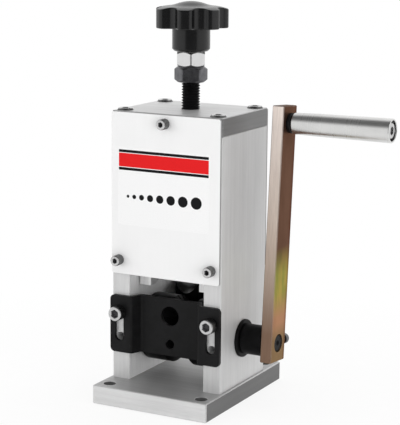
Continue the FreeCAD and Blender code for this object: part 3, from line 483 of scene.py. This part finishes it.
def passivated(name, tone):
    """Yellow passivated zinc: brown with gold and pink clouds low down; the narrow sides carry
    painted light, pale high up, and painted shade low down.
    """
    finish = Finish(name)
    _, y, z = finish.axes()
    cloud = finish.noise((60, 60, 22), 4)
    wisp = finish.noise((90, 130, 34), 3)
    streak = finish.noise((900, 900, 9), 3)
    narrow = facing(finish, 1, 0.3, 0.7)
    wide = finish.mix(finish.span(cloud, 0.36, 0.66), shade(tone, 0.82), shade(tone, 1.2))
    gold = finish.mix(finish.span(wisp, 0.4, 0.6), (0.46, 0.37, 0.1), (0.3, 0.3, 0.08))
    pink = finish.mix(finish.span(z, 76, 60), gold, (0.5, 0.27, 0.16))
    lowest = finish.mix(finish.span(z, 56, 46), pink, (0.3, 0.2, 0.11))
    clouded = finish.span(z, 106, 88) * finish.span(cloud, 0.2, 0.45, 0.6, 1)
    wide = finish.mix(clouded, wide, lowest)
    across = y - (z - SHAFT_HEIGHT / MM) * math.tan(LEAN_ANGLE)
    wide = finish.mix(finish.span(across, 6.0, 9.5, 0, 0.6), wide, (0.12, 0.035, 0.025))
    # The narrow sides run from near white high up to dark brown low down: painted light and shade
    # along the arm.
    pale = finish.mix(finish.span(z, 110, 180), (0.62, 0.51, 0.43), (0.92, 0.81, 0.74))
    pale = finish.mix(finish.span(z, 110, 50), pale, (0.23, 0.145, 0.1))
    drawn = finish.mix(0.12, pale, (0.1, 0.06, 0.05))
    pale = finish.mix(finish.span(streak, 0.35, 0.65), pale, drawn)
    finish.set("Base Color", finish.mix(narrow, wide, pale))
    finish.set("Roughness", finish.span(cloud, 0.3, 0.7, 0.34, 0.44))
    finish.set("Metallic", 0.8)
    finish.set("Specular IOR Level", 0.1)
    finish.set("Specular Tint", (0.4, 0.34, 0.3))
    finish.bump(finish.noise((1500, 1500, 30)), 0.1, 0.03 * MM)
    return finish.material


def polished(name, tone):
    """Turned and polished steel, with fine lines round the piece."""
    finish = Finish(name)
    lines = finish.noise((900, 6, 6), 2)
    haze = finish.noise((50, 50, 50), 3)
    finish.set("Base Color", finish.mix(finish.span(haze, 0.35, 0.7), tone, shade(tone, 0.9)))
    finish.set("Roughness", finish.span(lines, 0.3, 0.7, 0.27, 0.3))
    finish.set("Metallic", 1.0)
    finish.bump(haze, 0.04, 0.01 * MM)
    return finish.material


def moulded(name, tone, roughness=0.22, gloss=0.42):
    """Glossy black moulding with the faint ripple of its mould."""
    finish = Finish(name)
    ripple = finish.noise((160, 160, 160), 1)
    smear = finish.noise((45, 45, 90), 4)
    finish.set("Base Color", finish.mix(finish.span(smear, 0.4, 0.7), tone, shade(tone, 1.5)))
    finish.set("Roughness", finish.span(smear, 0.3, 0.72, roughness - 0.04, roughness + 0.06))
    finish.set("Specular IOR Level", gloss)
    finish.bump(ripple, 0.05, 0.03 * MM)
    return finish.material


def printed(name, tone, roughness=0.34, gloss=0.25):
    """Film or ink with a faint printed texture."""
    finish = Finish(name)
    grain = finish.noise((1800, 1800, 1800), 2)
    finish.set("Base Color", finish.mix(finish.span(grain, 0.35, 0.65), tone, shade(tone, 0.93)))
    finish.set("Roughness", finish.span(grain, 0.3, 0.7, roughness - 0.04, roughness + 0.05))
    finish.set("Specular IOR Level", gloss)
    finish.bump(grain, 0.04, 0.02 * MM)
    return finish.material


def sintered(name, tone):
    """Sintered bronze with open pores."""
    finish = Finish(name)
    pores = finish.noise((1300, 1300, 1300), 4)
    finish.set("Base Color", finish.mix(finish.span(pores, 0.35, 0.6), shade(tone, 0.5), tone))
    finish.set("Roughness", finish.span(pores, 0.3, 0.7, 0.5, 0.34))
    finish.set("Metallic", 0.9)
    finish.bump(pores, 0.2, 0.05 * MM)
    return finish.material


def aluminium(tones):
    """Makers of the brushed aluminium finishes."""
    even = (600, 600, 600)
    return {
        "wall": lambda: brushed("wall_aluminium", tones.wall, (380, 380, 10), (10, 380, 380),
                                roughness=0.5, streak=0.045, metal=0.4,
                                # The inner faces are painted 1.55 times lighter: painted light
                                # inside the housing.
                                inner=shade(tones.wall, 1.55)),
        "top": lambda: brushed("top_aluminium", tones.sawn, (14, 14, 380), (10, 420, 420),
                               roughness=0.4, metal=0.5, level=tones.top),
        "base": lambda: brushed("base_aluminium", tones.base, (14, 14, 340), (10, 380, 380),
                                roughness=0.45, streak=0.08, metal=0.5,
                                # The base's faces along X are 0.22 times as light as its front:
                                # painted shade on its sides.
                                level=shade(tones.base, 0.62), side=shade(tones.base, 0.22),
                                # The walls of the bench holes are painted darker: painted shade in
                                # the bores.
                                bore=shade(tones.base, 0.3)),
        "carrier": lambda: brushed("carrier_aluminium", shade(tones.wall, 1.2), (500, 500, 40),
                                   (40, 500, 500)),
        "bare_edge": lambda: brushed("broken_edge", shade(tones.wall, 1.1), even, even,
                                     roughness=0.4),
        # Dark grey on the covers' rounded edges: painted shade round their outline.
        "cover_edge_shade": lambda: brushed("sheet_edge", shade(tones.wall, 0.6), even, even,
                                      roughness=0.5, metal=0.2),
    }


def steel(tones):
    """Makers of the steel finishes, blackened, plated or polished."""
    return {
        "oxide": lambda: black_steel("black_oxide", tones.oxide),
        "oxide_edge": lambda: black_steel("black_oxide_edge", shade(tones.oxide, 1.6),
                                          roughness=0.36, worn=0.06, gloss=0.4),
        "oiled": lambda: black_steel("oiled_black_steel", shade(tones.oxide, 0.85),
                                     roughness=0.4, gloss=0.08),
        "socket": lambda: black_steel("socket_shade", shade(tones.oxide, 14),
                                      roughness=0.4, worn=0.05, gloss=0.5),
        "nut": lambda: plated("black_nut", shade(tones.oxide, 32), roughness=0.3, cloudy=0.6),
        "zinc": lambda: plated("bright_zinc", tones.zinc),
        # Zinc at 0.3 of its tone on the knurled band: painted shade on the sides of the screw
        # heads.
        "knurl": lambda: plated("knurled_zinc_painted_shade", shade(tones.zinc, 0.3),
                                roughness=0.35, cloudy=0.5),
        "zinc_nut": lambda: plated("bright_zinc_nut", shade(tones.zinc, 1.24),
                                   roughness=0.34, cloudy=0.95),
        "arm": lambda: passivated("passivated_zinc", tones.passivated),
        # Paler zinc on the arm's rounded edges: partly worn plating, partly a painted highlight
        # along them.
        "arm_edge": lambda: plated("worn_zinc_edge_and_highlight", shade(tones.zinc, 0.8),
                                   roughness=0.4, cloudy=0.8),
        "polished": lambda: polished("polished_steel", tones.polished),
        "blade": lambda: plated("ground_blade", shade(tones.zinc, 0.5),
                                roughness=0.3, cloudy=0.92),
    }


def other_finishes(tones):
    """Makers of the sheet, plastic, bronze and label finishes."""
    return {
        "cover": lambda: sheet_white("satin_sheet", tones.cover),
        "plastic": lambda: moulded("knob_moulding", tones.plastic),
        "nylon": lambda: moulded("black_nylon", shade(tones.plastic, 1.6),
                                 roughness=0.42, gloss=0.2),
        "bronze": lambda: sintered("bronze_bush", tones.bronze),
        "film": lambda: printed("label_film", tones.film),
        "ink": lambda: printed("label_ink", tones.ink, roughness=0.4, gloss=0.1),
        "band": lambda: printed("label_band", tones.band, roughness=0.4, gloss=0.1),
    }


MADE = {}


def finish_of(kind):
    """The finish of a kind, made when it is first used."""
    tones = bpy.context.scene.stripper_colours
    makers = {**aluminium(tones), **steel(tones), **other_finishes(tones)}
    if kind not in MADE:
        MADE[kind] = makers[kind]()
    return MADE[kind]


def screw_finishes():
    """Finishes of a cap screw's plating, socket and knurl; the socket and knurl finishes are darker
    with painted shade.
    """
    return [finish_of("zinc"), finish_of("socket"), finish_of("knurl")]


# ---- Operators, one for each piece or group of like pieces ----

class DressPlates(bpy.types.Operator):
    """Finish the base, the side plates and the top plate, and break their edges"""

    bl_idname = "wire_stripper.plates"
    bl_label = "Plates"

    def execute(self, context):
        edge = context.scene.stripper_sizes.plate_edge
        dress("base_plate", finish_of("base"), edge, finish_of("bare_edge"))
        dress("top_plate", finish_of("top"), edge, finish_of("bare_edge"))
        for node in ("left_side_plate", "right_side_plate"):
            dress(node, finish_of("wall"), edge, finish_of("bare_edge"))
        return {"FINISHED"}


class DressSheets(bpy.types.Operator):
    """Finish the covers and the wire guides, and round their sheet edges"""

    bl_idname = "wire_stripper.sheets"
    bl_label = "Covers and wire guides"

    def execute(self, context):
        edge = context.scene.stripper_sizes.sheet_edge
        for node in ("front_cover", "rear_cover"):
            dress(node, finish_of("cover"), edge, finish_of("cover_edge_shade"))
        for node in ("front_wire_guide", "rear_wire_guide"):
            dress(node, finish_of("oxide"), edge, finish_of("oxide_edge"))
        return {"FINISHED"}


# Finishes on the label's faces, and its stripes as their drop from the top, height and finish.
FILM, INK, BAND = range(3)
STRIPES = ((0, 1.8, INK), (2.2, 8.9, BAND), (11.5, 1.8, INK))


def panel(bm, sides, radius, front, back, finish):
    """A panel with rounded corners between its left, right, bottom and top, from back to front."""
    left, right, bottom, top = sides
    outline = []
    for x, z, start in ((right - radius, top - radius, 0), (left + radius, top - radius, 90),
                        (left + radius, bottom + radius, 180),
                        (right - radius, bottom + radius, 270)):
        for step in range(7):
            angle = math.radians(start + 15 * step)
            outline.append((x + radius * math.cos(angle), z + radius * math.sin(angle)))
    rings = [[Vector((x, y, z)) for x, z in outline] for y in (back, front)]
    rings.append([Vector(((left + right) / 2, front, (bottom + top) / 2))])
    loft(bm, rings, finishes=[finish, finish])


class MakeLabel(bpy.types.Operator):
    """Make the front label: a film with a striped band and a row of dots that grow"""

    bl_idname = "wire_stripper.label"
    bl_label = "Front label"

    def execute(self, context):
        low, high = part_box("front_label")
        film = low.y + 0.05 * MM
        ink = film - 0.015 * MM
        bm = bmesh.new()
        panel(bm, (low.x, high.x, low.z, high.z), context.scene.stripper_sizes.label_corner,
              film, high.y, FILM)
        left, right, top = low.x + 0.7 * MM, high.x - 0.8 * MM, high.z - 1.7 * MM
        for drop, height, finish in STRIPES:
            sides = (left, right, top - (drop + height) * MM, top - drop * MM)
            panel(bm, sides, 0.3 * MM, ink, film, finish)
        x, z = low.x + 6.5 * MM, (low.z + high.z) / 2 - 6.5 * MM
        for count in range(8):
            radius = (1.0 + 0.42 * count) * MM
            x += radius
            # A corner radius just under half the width keeps the corners from meeting.
            panel(bm, (x - radius, x + radius, z - radius, z + radius), radius * 0.999,
                  ink, film, INK)
            x += radius + 2.2 * MM
        keep("label_print", bm, [finish_of("film"), finish_of("ink"), finish_of("band")],
             "housing", ["front_label"])
        return {"FINISHED"}


class MakeFrameScrews(bpy.types.Operator):
    """Make the cap screws of the housing, knurled and with hexagon sockets"""

    bl_idname = "wire_stripper.frame_screws"
    bl_label = "Frame screws"

    def execute(self, context):
        wall = 33.75 * MM
        front_and_back = ((-1, "front"), (1, "back"))
        groups = {
            "top_plate_screws": [(stand(x, y, 186.4 * MM), LARGE_SCREW, 20.4)
                                 for x in (-wall, wall) for y in (-26 * MM, 26 * MM)],
            "base_screws": [(stand(x, y, 6.3 * MM, "down"), LARGE_SCREW, 19.2)
                            for x in (-wall, wall) for y in (-20 * MM, 20 * MM)],
            "guide_screws": [(stand(x, side * 34.5 * MM, 58 * MM, way), LARGE_SCREW, 16.5)
                             for x in (-wall, wall) for side, way in front_and_back],
            "cover_screws": [(stand(x, side * 33.8 * MM, z, way), COVER_SCREW, 8.8)
                             for x, z in ((-wall, 93.5 * MM), (wall, 93.5 * MM), (0, 185 * MM))
                             for side, way in front_and_back],
        }
        for node, screws in groups.items():
            keep_screws(node, "housing", screws)
        return {"FINISHED"}


class DressCarriage(bpy.types.Operator):
    """Finish the blade, its carrier and the retainer of the spindle"""

    bl_idname = "wire_stripper.carriage"
    bl_label = "Blade and carrier"

    def execute(self, context):
        edge = context.scene.stripper_sizes.plate_edge
        dress("blade_carrier", finish_of("carrier"), edge / 2, finish_of("bare_edge"))
        dress("blade_disc", finish_of("blade"))
        dress("blade_bush", finish_of("bronze"))
        for node in ("blade_axle", "blade_spacers"):
            dress(node, finish_of("zinc"))
        dress("axle_grub_screws", finish_of("oxide"))
        dress("retainer_plate", finish_of("oxide"), edge / 2, finish_of("oxide_edge"))
        keep_screws("retainer_screws", "carriage",
                    [(stand(x, 0, 125 * MM), SMALL_SCREW, 10) for x in (-14 * MM, 14 * MM)])
        return {"FINISHED"}


class MakeSpindle(bpy.types.Operator):
    """Make the spindle with its real thread, down to its neck and button"""

    bl_idname = "wire_stripper.spindle"
    bl_label = "Threaded spindle"

    def execute(self, context):
        sizes = context.scene.stripper_sizes
        low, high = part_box("threaded_spindle")
        steps = 36
        pitch = sizes.thread_pitch
        crest = high.x - 0.02 * MM
        root = crest - sizes.thread_depth
        core, neck = root + 0.01 * MM, 4 * MM
        button_top, neck_top = low.z + 4 * MM, low.z + 7.6 * MM
        bottom, top = low.z + 8.6 * MM, high.z - 0.8 * MM
        bm = bmesh.new()
        self.thread(bm, bottom, int((top - bottom) / pitch), pitch, root, crest, steps)
        profile = [(0, low.z), (crest - 0.5 * MM, low.z), (crest, low.z + 0.5 * MM),
                   (crest, button_top), (neck, button_top), (neck, neck_top), (core, bottom),
                   (core, high.z - 0.6 * MM), (core - 0.6 * MM, high.z), (0, high.z)]
        loft(bm, turned(profile, steps))
        keep("spindle_thread", bm, [finish_of("oiled")], "spindle", ["threaded_spindle"],
             sharp=25)
        return {"FINISHED"}

    @staticmethod
    def thread(bm, bottom, turns, pitch, root, crest, steps):
        """A right-hand thread that fades in over its first turn and out over its last."""
        shape = ((0.0, root), (0.2, root), (0.5, crest), (0.68, crest))
        last = turns * steps
        rows = []
        for step in range(last + 1):
            angle = 2 * math.pi * step / steps
            fade = min(1.0, step / steps, (last - step) / steps)
            row = []
            for share, radius in shape:
                reach = root + (radius - root) * fade
                rise = bottom + pitch * (step / steps + share)
                row.append(bm.verts.new((reach * math.cos(angle), reach * math.sin(angle), rise)))
            rows.append(row)
        for row, after in zip(rows, rows[1:]):
            for low, high in ((0, 1), (1, 2), (2, 3)):
                bm.faces.new((row[low], after[low], after[high], row[high]))
        for row, after, above, beyond in zip(rows, rows[1:], rows[steps:], rows[steps + 1:]):
            bm.faces.new((row[3], after[3], beyond[0], above[0]))


class MakeNuts(bpy.types.Operator):
    """Make the black lock nut and the plated nut above it"""

    bl_idname = "wire_stripper.nuts"
    bl_label = "Nuts"

    def execute(self, context):
        for node, flats, turn, kind, slot in (
                ("lock_nut", 19 * MM, -2, "nut", "black_steel"),
                ("plated_nut", 18 * MM, 28, "zinc_nut", "plated_steel")):
            low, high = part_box(node)
            outline = hexagon(flats, 0.22 * MM)
            face = flats / 2 - 0.8 * MM
            slope = math.tan(math.radians(40))
            bore, bore_edge = 6.06 * MM, 6.76 * MM
            profile = [(bore, low.z + 0.9 * MM), (bore_edge, low.z + 0.1 * MM), (face, low.z),
                       (outline, lambda reach: low.z + max(0, reach - face) * slope),
                       (outline, lambda reach: high.z - max(0, reach - face) * slope),
                       (face, high.z), (bore_edge, high.z - 0.1 * MM), (bore, high.z - 0.9 * MM)]
            rings = turned(profile, 120)
            rings.append(rings[0])
            bm = bmesh.new()
            loft(bm, rings, Matrix.Rotation(math.radians(turn), 4, "Z"))
            keep(node + "_chamfered", bm, [finish_of(kind)], "spindle", [node], sharp=20)
        return {"FINISHED"}


class MakeKnob(bpy.types.Operator):
    """Make the star knob with its domed top and rounded lobes"""

    bl_idname = "wire_stripper.star_knob"
    bl_label = "Star knob"

    def execute(self, context):
        sizes = context.scene.stripper_sizes
        low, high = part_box("star_knob")
        edge = sizes.knob_edge
        boss, inner, insert = 12.3 * MM, 15.5 * MM, 9.02 * MM
        under = high.z - 17 * MM
        outline = self.star_outline(sizes.lobes)

        def top(reach):
            """Height of the top: a round cap that runs out into a flatter shelf."""
            cap = low.z
            if reach < 20 * MM:
                cap = high.z - 27 * MM + math.sqrt((27 * MM) ** 2 - reach ** 2)
            shelf = high.z - 34 * MM + math.sqrt((31 * MM) ** 2 - (reach - 13.37 * MM) ** 2)
            blend = 1.8 * MM
            share = min(1, max(0, 0.5 + (shelf - cap) / blend / 2))
            return cap + (shelf - cap) * share + blend * share * (1 - share)

        def row(reach_of, height_of):
            """Ring along the lobes, its reach made from the outline's and its height from that."""
            points = []
            for angle, reach in outline:
                drawn = reach_of(reach)
                height = height_of(drawn)
                points.append(Vector((drawn * math.cos(angle), drawn * math.sin(angle), height)))
            return points

        def circle(radius, height):
            """Round ring at a height."""
            return row(lambda reach: radius, lambda reach: height)

        def star(shrink, height_of):
            """Ring inside the outline by a distance."""
            return row(lambda reach: reach - shrink, height_of)

        rings = [circle(radius, low.z + rise) for radius, rise in (
            (insert, 0.4 * MM), (9.3 * MM, 0), (boss - 1.7 * MM, 0), (boss - 1.3 * MM, 0.15 * MM),
            (boss - 0.15 * MM, 1.3 * MM), (boss, 1.7 * MM))]
        rings += [circle(radius, under - drop) for radius, drop in (
            (boss, 0.9 * MM), (boss + 0.25 * MM, 0.3 * MM), (boss + 0.9 * MM, 0))]
        rings += [star(edge, lambda reach: under),
                  star(0.3 * edge, lambda reach: under + 0.3 * edge),
                  star(0, lambda reach: under + edge),
                  star(0, lambda reach: top(reach) - 0.9 * edge),
                  star(0.12 * edge, lambda reach: top(reach) - 0.45 * edge),
                  star(0.45 * edge, lambda reach: top(reach) - 0.12 * edge), star(edge, top)]
        for share in (0.7, 0.4, 0.15):
            rings.append(row(lambda reach: inner + (reach - edge - inner) * share, top))
        for radius in (15, 14, 13, 12, 11, 10, 9, 8, 6.5, 4.5, 2.5, 1):
            rings.append(row(lambda reach: radius * MM, top))
        rings.append([Vector((0, 0, high.z))])
        bm = bmesh.new()
        loft(bm, rings, Matrix.Rotation(math.radians(4.2), 4, "Z"))
        keep("knob_moulded", bm, [finish_of("plastic")], "spindle", ["star_knob"],
             sharp=50)
        dress("knob_insert", finish_of("zinc"))
        return {"FINISHED"}

    @staticmethod
    def star_outline(lobes):
        """Angles and reaches round the knob: hollows, fillets and tips in turn."""
        rim, hollow, fillet = 24 * MM, 6 * MM, 3.5 * MM
        centre = rim + hollow - 5 * MM
        pitch = 2 * math.pi / lobes

        def between(a, b, c):
            """Angle between sides a and b of a triangle whose third side is c."""
            return math.acos((a * a + b * b - c * c) / (2 * a * b))

        tip = between(rim - fillet, centre, hollow + fillet)
        turn = between(centre, hollow + fillet, rim - fillet)
        half = []
        for step in range(9):
            angle = turn * step / 8
            half.append((centre - hollow * math.cos(angle), hollow * math.sin(angle)))
        middle = Vector(((rim - fillet) * math.cos(tip), (rim - fillet) * math.sin(tip)))
        for step in range(1, 11):
            angle = -turn + (turn + tip) * step / 10
            half.append((middle.x + fillet * math.cos(angle), middle.y + fillet * math.sin(angle)))
        for step in range(1, 4):
            angle = tip + (pitch / 2 - tip) * step / 3
            half.append((rim * math.cos(angle), rim * math.sin(angle)))
        polar = [(math.atan2(y, x), math.hypot(x, y)) for x, y in half]
        lobe = [(-angle, reach) for angle, reach in reversed(polar[1:-1])] + polar
        return [(angle + pitch * count, reach) for count in range(lobes) for angle, reach in lobe]


class DressFeed(bpy.types.Operator):
    """Finish the feed roller, its shaft, bushes and collar"""

    bl_idname = "wire_stripper.feed"
    bl_label = "Feed roller and shaft"

    def execute(self, context):
        edge = context.scene.stripper_sizes.plate_edge
        for node in ("feed_roller", "feed_shaft", "left_bush", "right_bush", "crank_collar"):
            dress(node, finish_of("oiled"), edge / 2)
        for node in ("roller_key", "collar_grub_screw"):
            dress(node, finish_of("oxide"))
        dress("thrust_washers", finish_of("bronze"))
        return {"FINISHED"}


class MakeCrank(bpy.types.Operator):
    """Finish the crank arm and make its clamp screw"""

    bl_idname = "wire_stripper.crank_arm"
    bl_label = "Crank arm"

    def execute(self, context):
        edge = context.scene.stripper_sizes.arm_edge
        dress("crank_arm", finish_of("arm"), edge, finish_of("arm_edge"))
        screw = (LEAN @ stand(61.8 * MM, 14.5 * MM, 0, "back"), SMALL_SCREW, 8.4)
        keep_screws("arm_clamp_screw", "crank", [screw],
                    [finish_of("nut"), finish_of("oxide"), finish_of("nut")])
        return {"FINISHED"}


class MakeHandle(bpy.types.Operator):
    """Make the turned handle sleeve and finish its pin, washer and bushes"""

    bl_idname = "wire_stripper.handle"
    bl_label = "Handle"

    def execute(self, context):
        low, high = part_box("handle_sleeve")
        start, end = low.x, high.x
        narrow, wide, bore, recess = 6.9 * MM, 7.65 * MM, 5.21 * MM, 6.5 * MM
        seat = end - 4 * MM
        profile = [(bore, start + 0.2 * MM), (bore + 0.2 * MM, start),
                   (narrow - 0.6 * MM, start), (narrow - 0.18 * MM, start + 0.18 * MM),
                   (narrow, start + 0.6 * MM), (narrow + 0.35 * MM, start + 16 * MM),
                   (wide, end - 0.6 * MM), (wide - 0.15 * MM, end - 0.18 * MM),
                   (wide - 0.45 * MM, end), (recess + 0.2 * MM, end),
                   (recess, end - 0.3 * MM), (recess, seat), (bore, seat)]
        rings = turned(profile, 96)
        rings.append(rings[0])
        outside, inside = [0] * 10, [1] * 3
        bm = bmesh.new()
        loft(bm, rings, HANDLE, outside + inside)
        keep("handle_turned", bm, [finish_of("polished"), finish_of("zinc")], "grip",
             ["handle_sleeve"], sharp=28)
        dress("handle_pin", finish_of("zinc"), 0.1 * MM)
        dress("handle_washer", finish_of("nylon"), 0.2 * MM)
        dress("handle_bushes", finish_of("bronze"))
        return {"FINISHED"}


# Lamps, with their place and size in metres and their power in watts.
LAMPS = (
    ("key_softbox", (-0.85, -1.15, 0.35), (2.0, 0.9), 7.0),
    ("side_softbox", (1.05, -0.85, 0.3), (0.8, 0.6), 6.5),
    ("left_softbox", (-1.4, 0.0, 0.25), (0.3, 0.9), 4.0),
    ("back_softbox", (0.7, 1.1, 0.6), (0.7, 0.9), 3.0),
    ("top_softbox", (0.0, 0.1, 1.2), (0.8, 0.8), 2.5),
)
LAMP_TARGET = Vector((0, 0, 0.12))

# The camera's place in metres and its turn, tilt and roll in degrees.
CAMERA_PLACE = Vector((0.4753, -0.87779, 0.3181))
CAMERA_ANGLES = (28.056, 11.096, 0.469)


class SetStage(bpy.types.Operator):
    """Set the pale floor, the soft light and the camera"""

    bl_idname = "wire_stripper.stage"
    bl_label = "Stage"

    def execute(self, context):
        scene = context.scene
        scene.view_settings.view_transform = "Standard"
        self.floor(scene)
        self.world(scene)
        for lamp in LAMPS:
            self.lamp(scene, *lamp)
        self.camera(scene)
        return {"FINISHED"}

    @staticmethod
    def floor(scene):
        """A wide pale floor that keeps a faint shadow."""
        bm = bmesh.new()
        bmesh.ops.create_grid(bm, x_segments=4, y_segments=4, size=6)
        mesh = bpy.data.meshes.new("floor")
        bm.to_mesh(mesh)
        bm.free()
        floor = bpy.data.objects.new("floor", mesh)
        floor.location = (0, 0, -0.5 * MM)
        scene.collection.objects.link(floor)
        finish = Finish("pale_floor")
        path = finish.node("ShaderNodeLightPath")
        glossy = path.value("Is Glossy Ray")
        x, y, _ = finish.axes()
        ahead, aside = x * AHEAD_X + y * AHEAD_Y, y * AHEAD_X - x * AHEAD_Y
        # Reflections see the floor dark in a wedge that opens ahead, and a little darker near by.
        wedge = finish.span(aside * aside - ahead * ahead * 0.5, 0, -40000)
        front = finish.span(ahead, 350, 600) * wedge
        distance = x * x + y * y
        near = finish.span(distance, 900 ** 2, 200 ** 2)
        dark = glossy * (0.07 + near * 0.15 + front * 0.78)
        paper = finish.noise((90, 90, 90), 2)
        pale = finish.mix(finish.span(paper, 0.4, 0.6), (0.88, 0.88, 0.88), (0.86, 0.86, 0.86))
        finish.set("Base Color", finish.mix(dark, pale, (0, 0, 0)))
        finish.set("Roughness", 0.9)
        finish.set("Specular IOR Level", 0.0)
        seen = path.value("Is Camera Ray") + glossy + path.value("Is Transmission Ray")
        white = (seen - dark) * finish.span(distance, 90 ** 2, 300 ** 2, 0.86, 1.0)
        glow = finish.node("ShaderNodeEmission", None, {"Color": (1, 1, 1), "Strength": 1.0})
        surface = Value(finish, finish.shader.outputs[0])
        mixed = finish.node("ShaderNodeMixShader", None, {0: white, 1: surface, 2: glow.value()})
        finish.plug(finish.tree.nodes["Material Output"].inputs["Surface"], mixed.value())
        mesh.materials.append(finish.material)

    @staticmethod
    def world(scene):
        """White where it is seen, softer as light, and dark to reflections ahead and overhead."""
        world = bpy.data.worlds.new("studio")
        world.use_nodes = True
        scene.world = world
        sky = Shading(world.node_tree)
        path = sky.node("ShaderNodeLightPath")
        x, y, z = sky.axes_of(sky.node("ShaderNodeTexCoord").value("Generated"))
        front = sky.span(x * AHEAD_X + y * AHEAD_Y, 0.68, 0.84)
        over = sky.span(z * 0.937 - y * 0.35, 0.62, 0.84)
        glossy = path.value("Is Glossy Ray")
        white = path.value("Is Camera Ray") + path.value("Is Transmission Ray") + glossy
        shadowed = (1 - white) * front * 0.6 + glossy * (front + over - front * over) * 0.88
        background = world.node_tree.nodes["Background"]
        background.inputs["Color"].default_value = (1, 1, 1, 1)
        sky.plug(background.inputs["Strength"], 0.75 + white * 0.25 - shadowed)

    @staticmethod
    def lamp(scene, name, place, size, energy):
        """A soft rectangular lamp aimed at the middle of the machine."""
        light = bpy.data.lights.new(name, "AREA")
        light.shape = "RECTANGLE"
        light.size, light.size_y = size
        light.energy = energy
        lamp = bpy.data.objects.new(name, light)
        lamp.visible_glossy = False
        lamp.location = place
        aim = LAMP_TARGET - Vector(place)
        lamp.rotation_euler = aim.to_track_quat("-Z", "Y").to_euler()
        scene.collection.objects.link(lamp)

    @staticmethod
    def camera(scene):
        """The camera: right of the front and a little above, with a slight roll."""
        turn, tilt, roll = (math.radians(angle) for angle in CAMERA_ANGLES)
        level = math.cos(tilt)
        ahead = Vector((-math.sin(turn) * level, math.cos(turn) * level, -math.sin(tilt)))
        right = Vector((math.cos(turn), math.sin(turn), 0))
        up = right.cross(ahead)
        across = math.cos(roll) * right + math.sin(roll) * up
        upward = math.cos(roll) * up - math.sin(roll) * right
        facing_back = Matrix((across, upward, -ahead)).transposed().to_4x4()
        camera = bpy.data.objects.new("camera", bpy.data.cameras.new("camera"))
        camera.matrix_world = Matrix.Translation(CAMERA_PLACE) @ facing_back
        camera.data.sensor_width = 36
        camera.data.lens = 130.9
        camera.data.clip_start = 0.05
        camera.data.clip_end = 50
        scene.collection.objects.link(camera)
        scene.camera = camera


OPERATORS = (DressPlates, DressSheets, MakeLabel, MakeFrameScrews, DressCarriage, MakeSpindle,
             MakeNuts, MakeKnob, DressFeed, MakeCrank, MakeHandle, SetStage)


class StripperPanel(bpy.types.Panel):
    """Lists the sizes, colours and builders of the wire stripper"""

    bl_idname = "VIEW3D_PT_wire_stripper"
    bl_label = "Wire Stripper"
    bl_space_type = "VIEW_3D"
    bl_region_type = "UI"
    bl_category = "Wire Stripper"

    def draw(self, context):
        for group in (context.scene.stripper_sizes, context.scene.stripper_colours):
            box = self.layout.box()
            for name in group.__annotations__:
                box.prop(group, name)
        for operator in OPERATORS:
            self.layout.operator(operator.bl_idname)


CLASSES = (StripperSizes, StripperColours, *OPERATORS, StripperPanel)


def register():
    """Register the classes and their settings."""
    for kind in CLASSES:
        bpy.utils.register_class(kind)
    bpy.types.Scene.stripper_sizes = PointerProperty(type=StripperSizes)
    bpy.types.Scene.stripper_colours = PointerProperty(type=StripperColours)


def unregister():
    """Remove the settings and the classes."""
    del bpy.types.Scene.stripper_colours
    del bpy.types.Scene.stripper_sizes
    for kind in reversed(CLASSES):
        bpy.utils.unregister_class(kind)


def main():
    """Build every piece."""
    register()
    for operator in OPERATORS:
        group, name = operator.bl_idname.split(".")
        getattr(getattr(bpy.ops, group), name)()


if __name__ == "__main__":
    main()
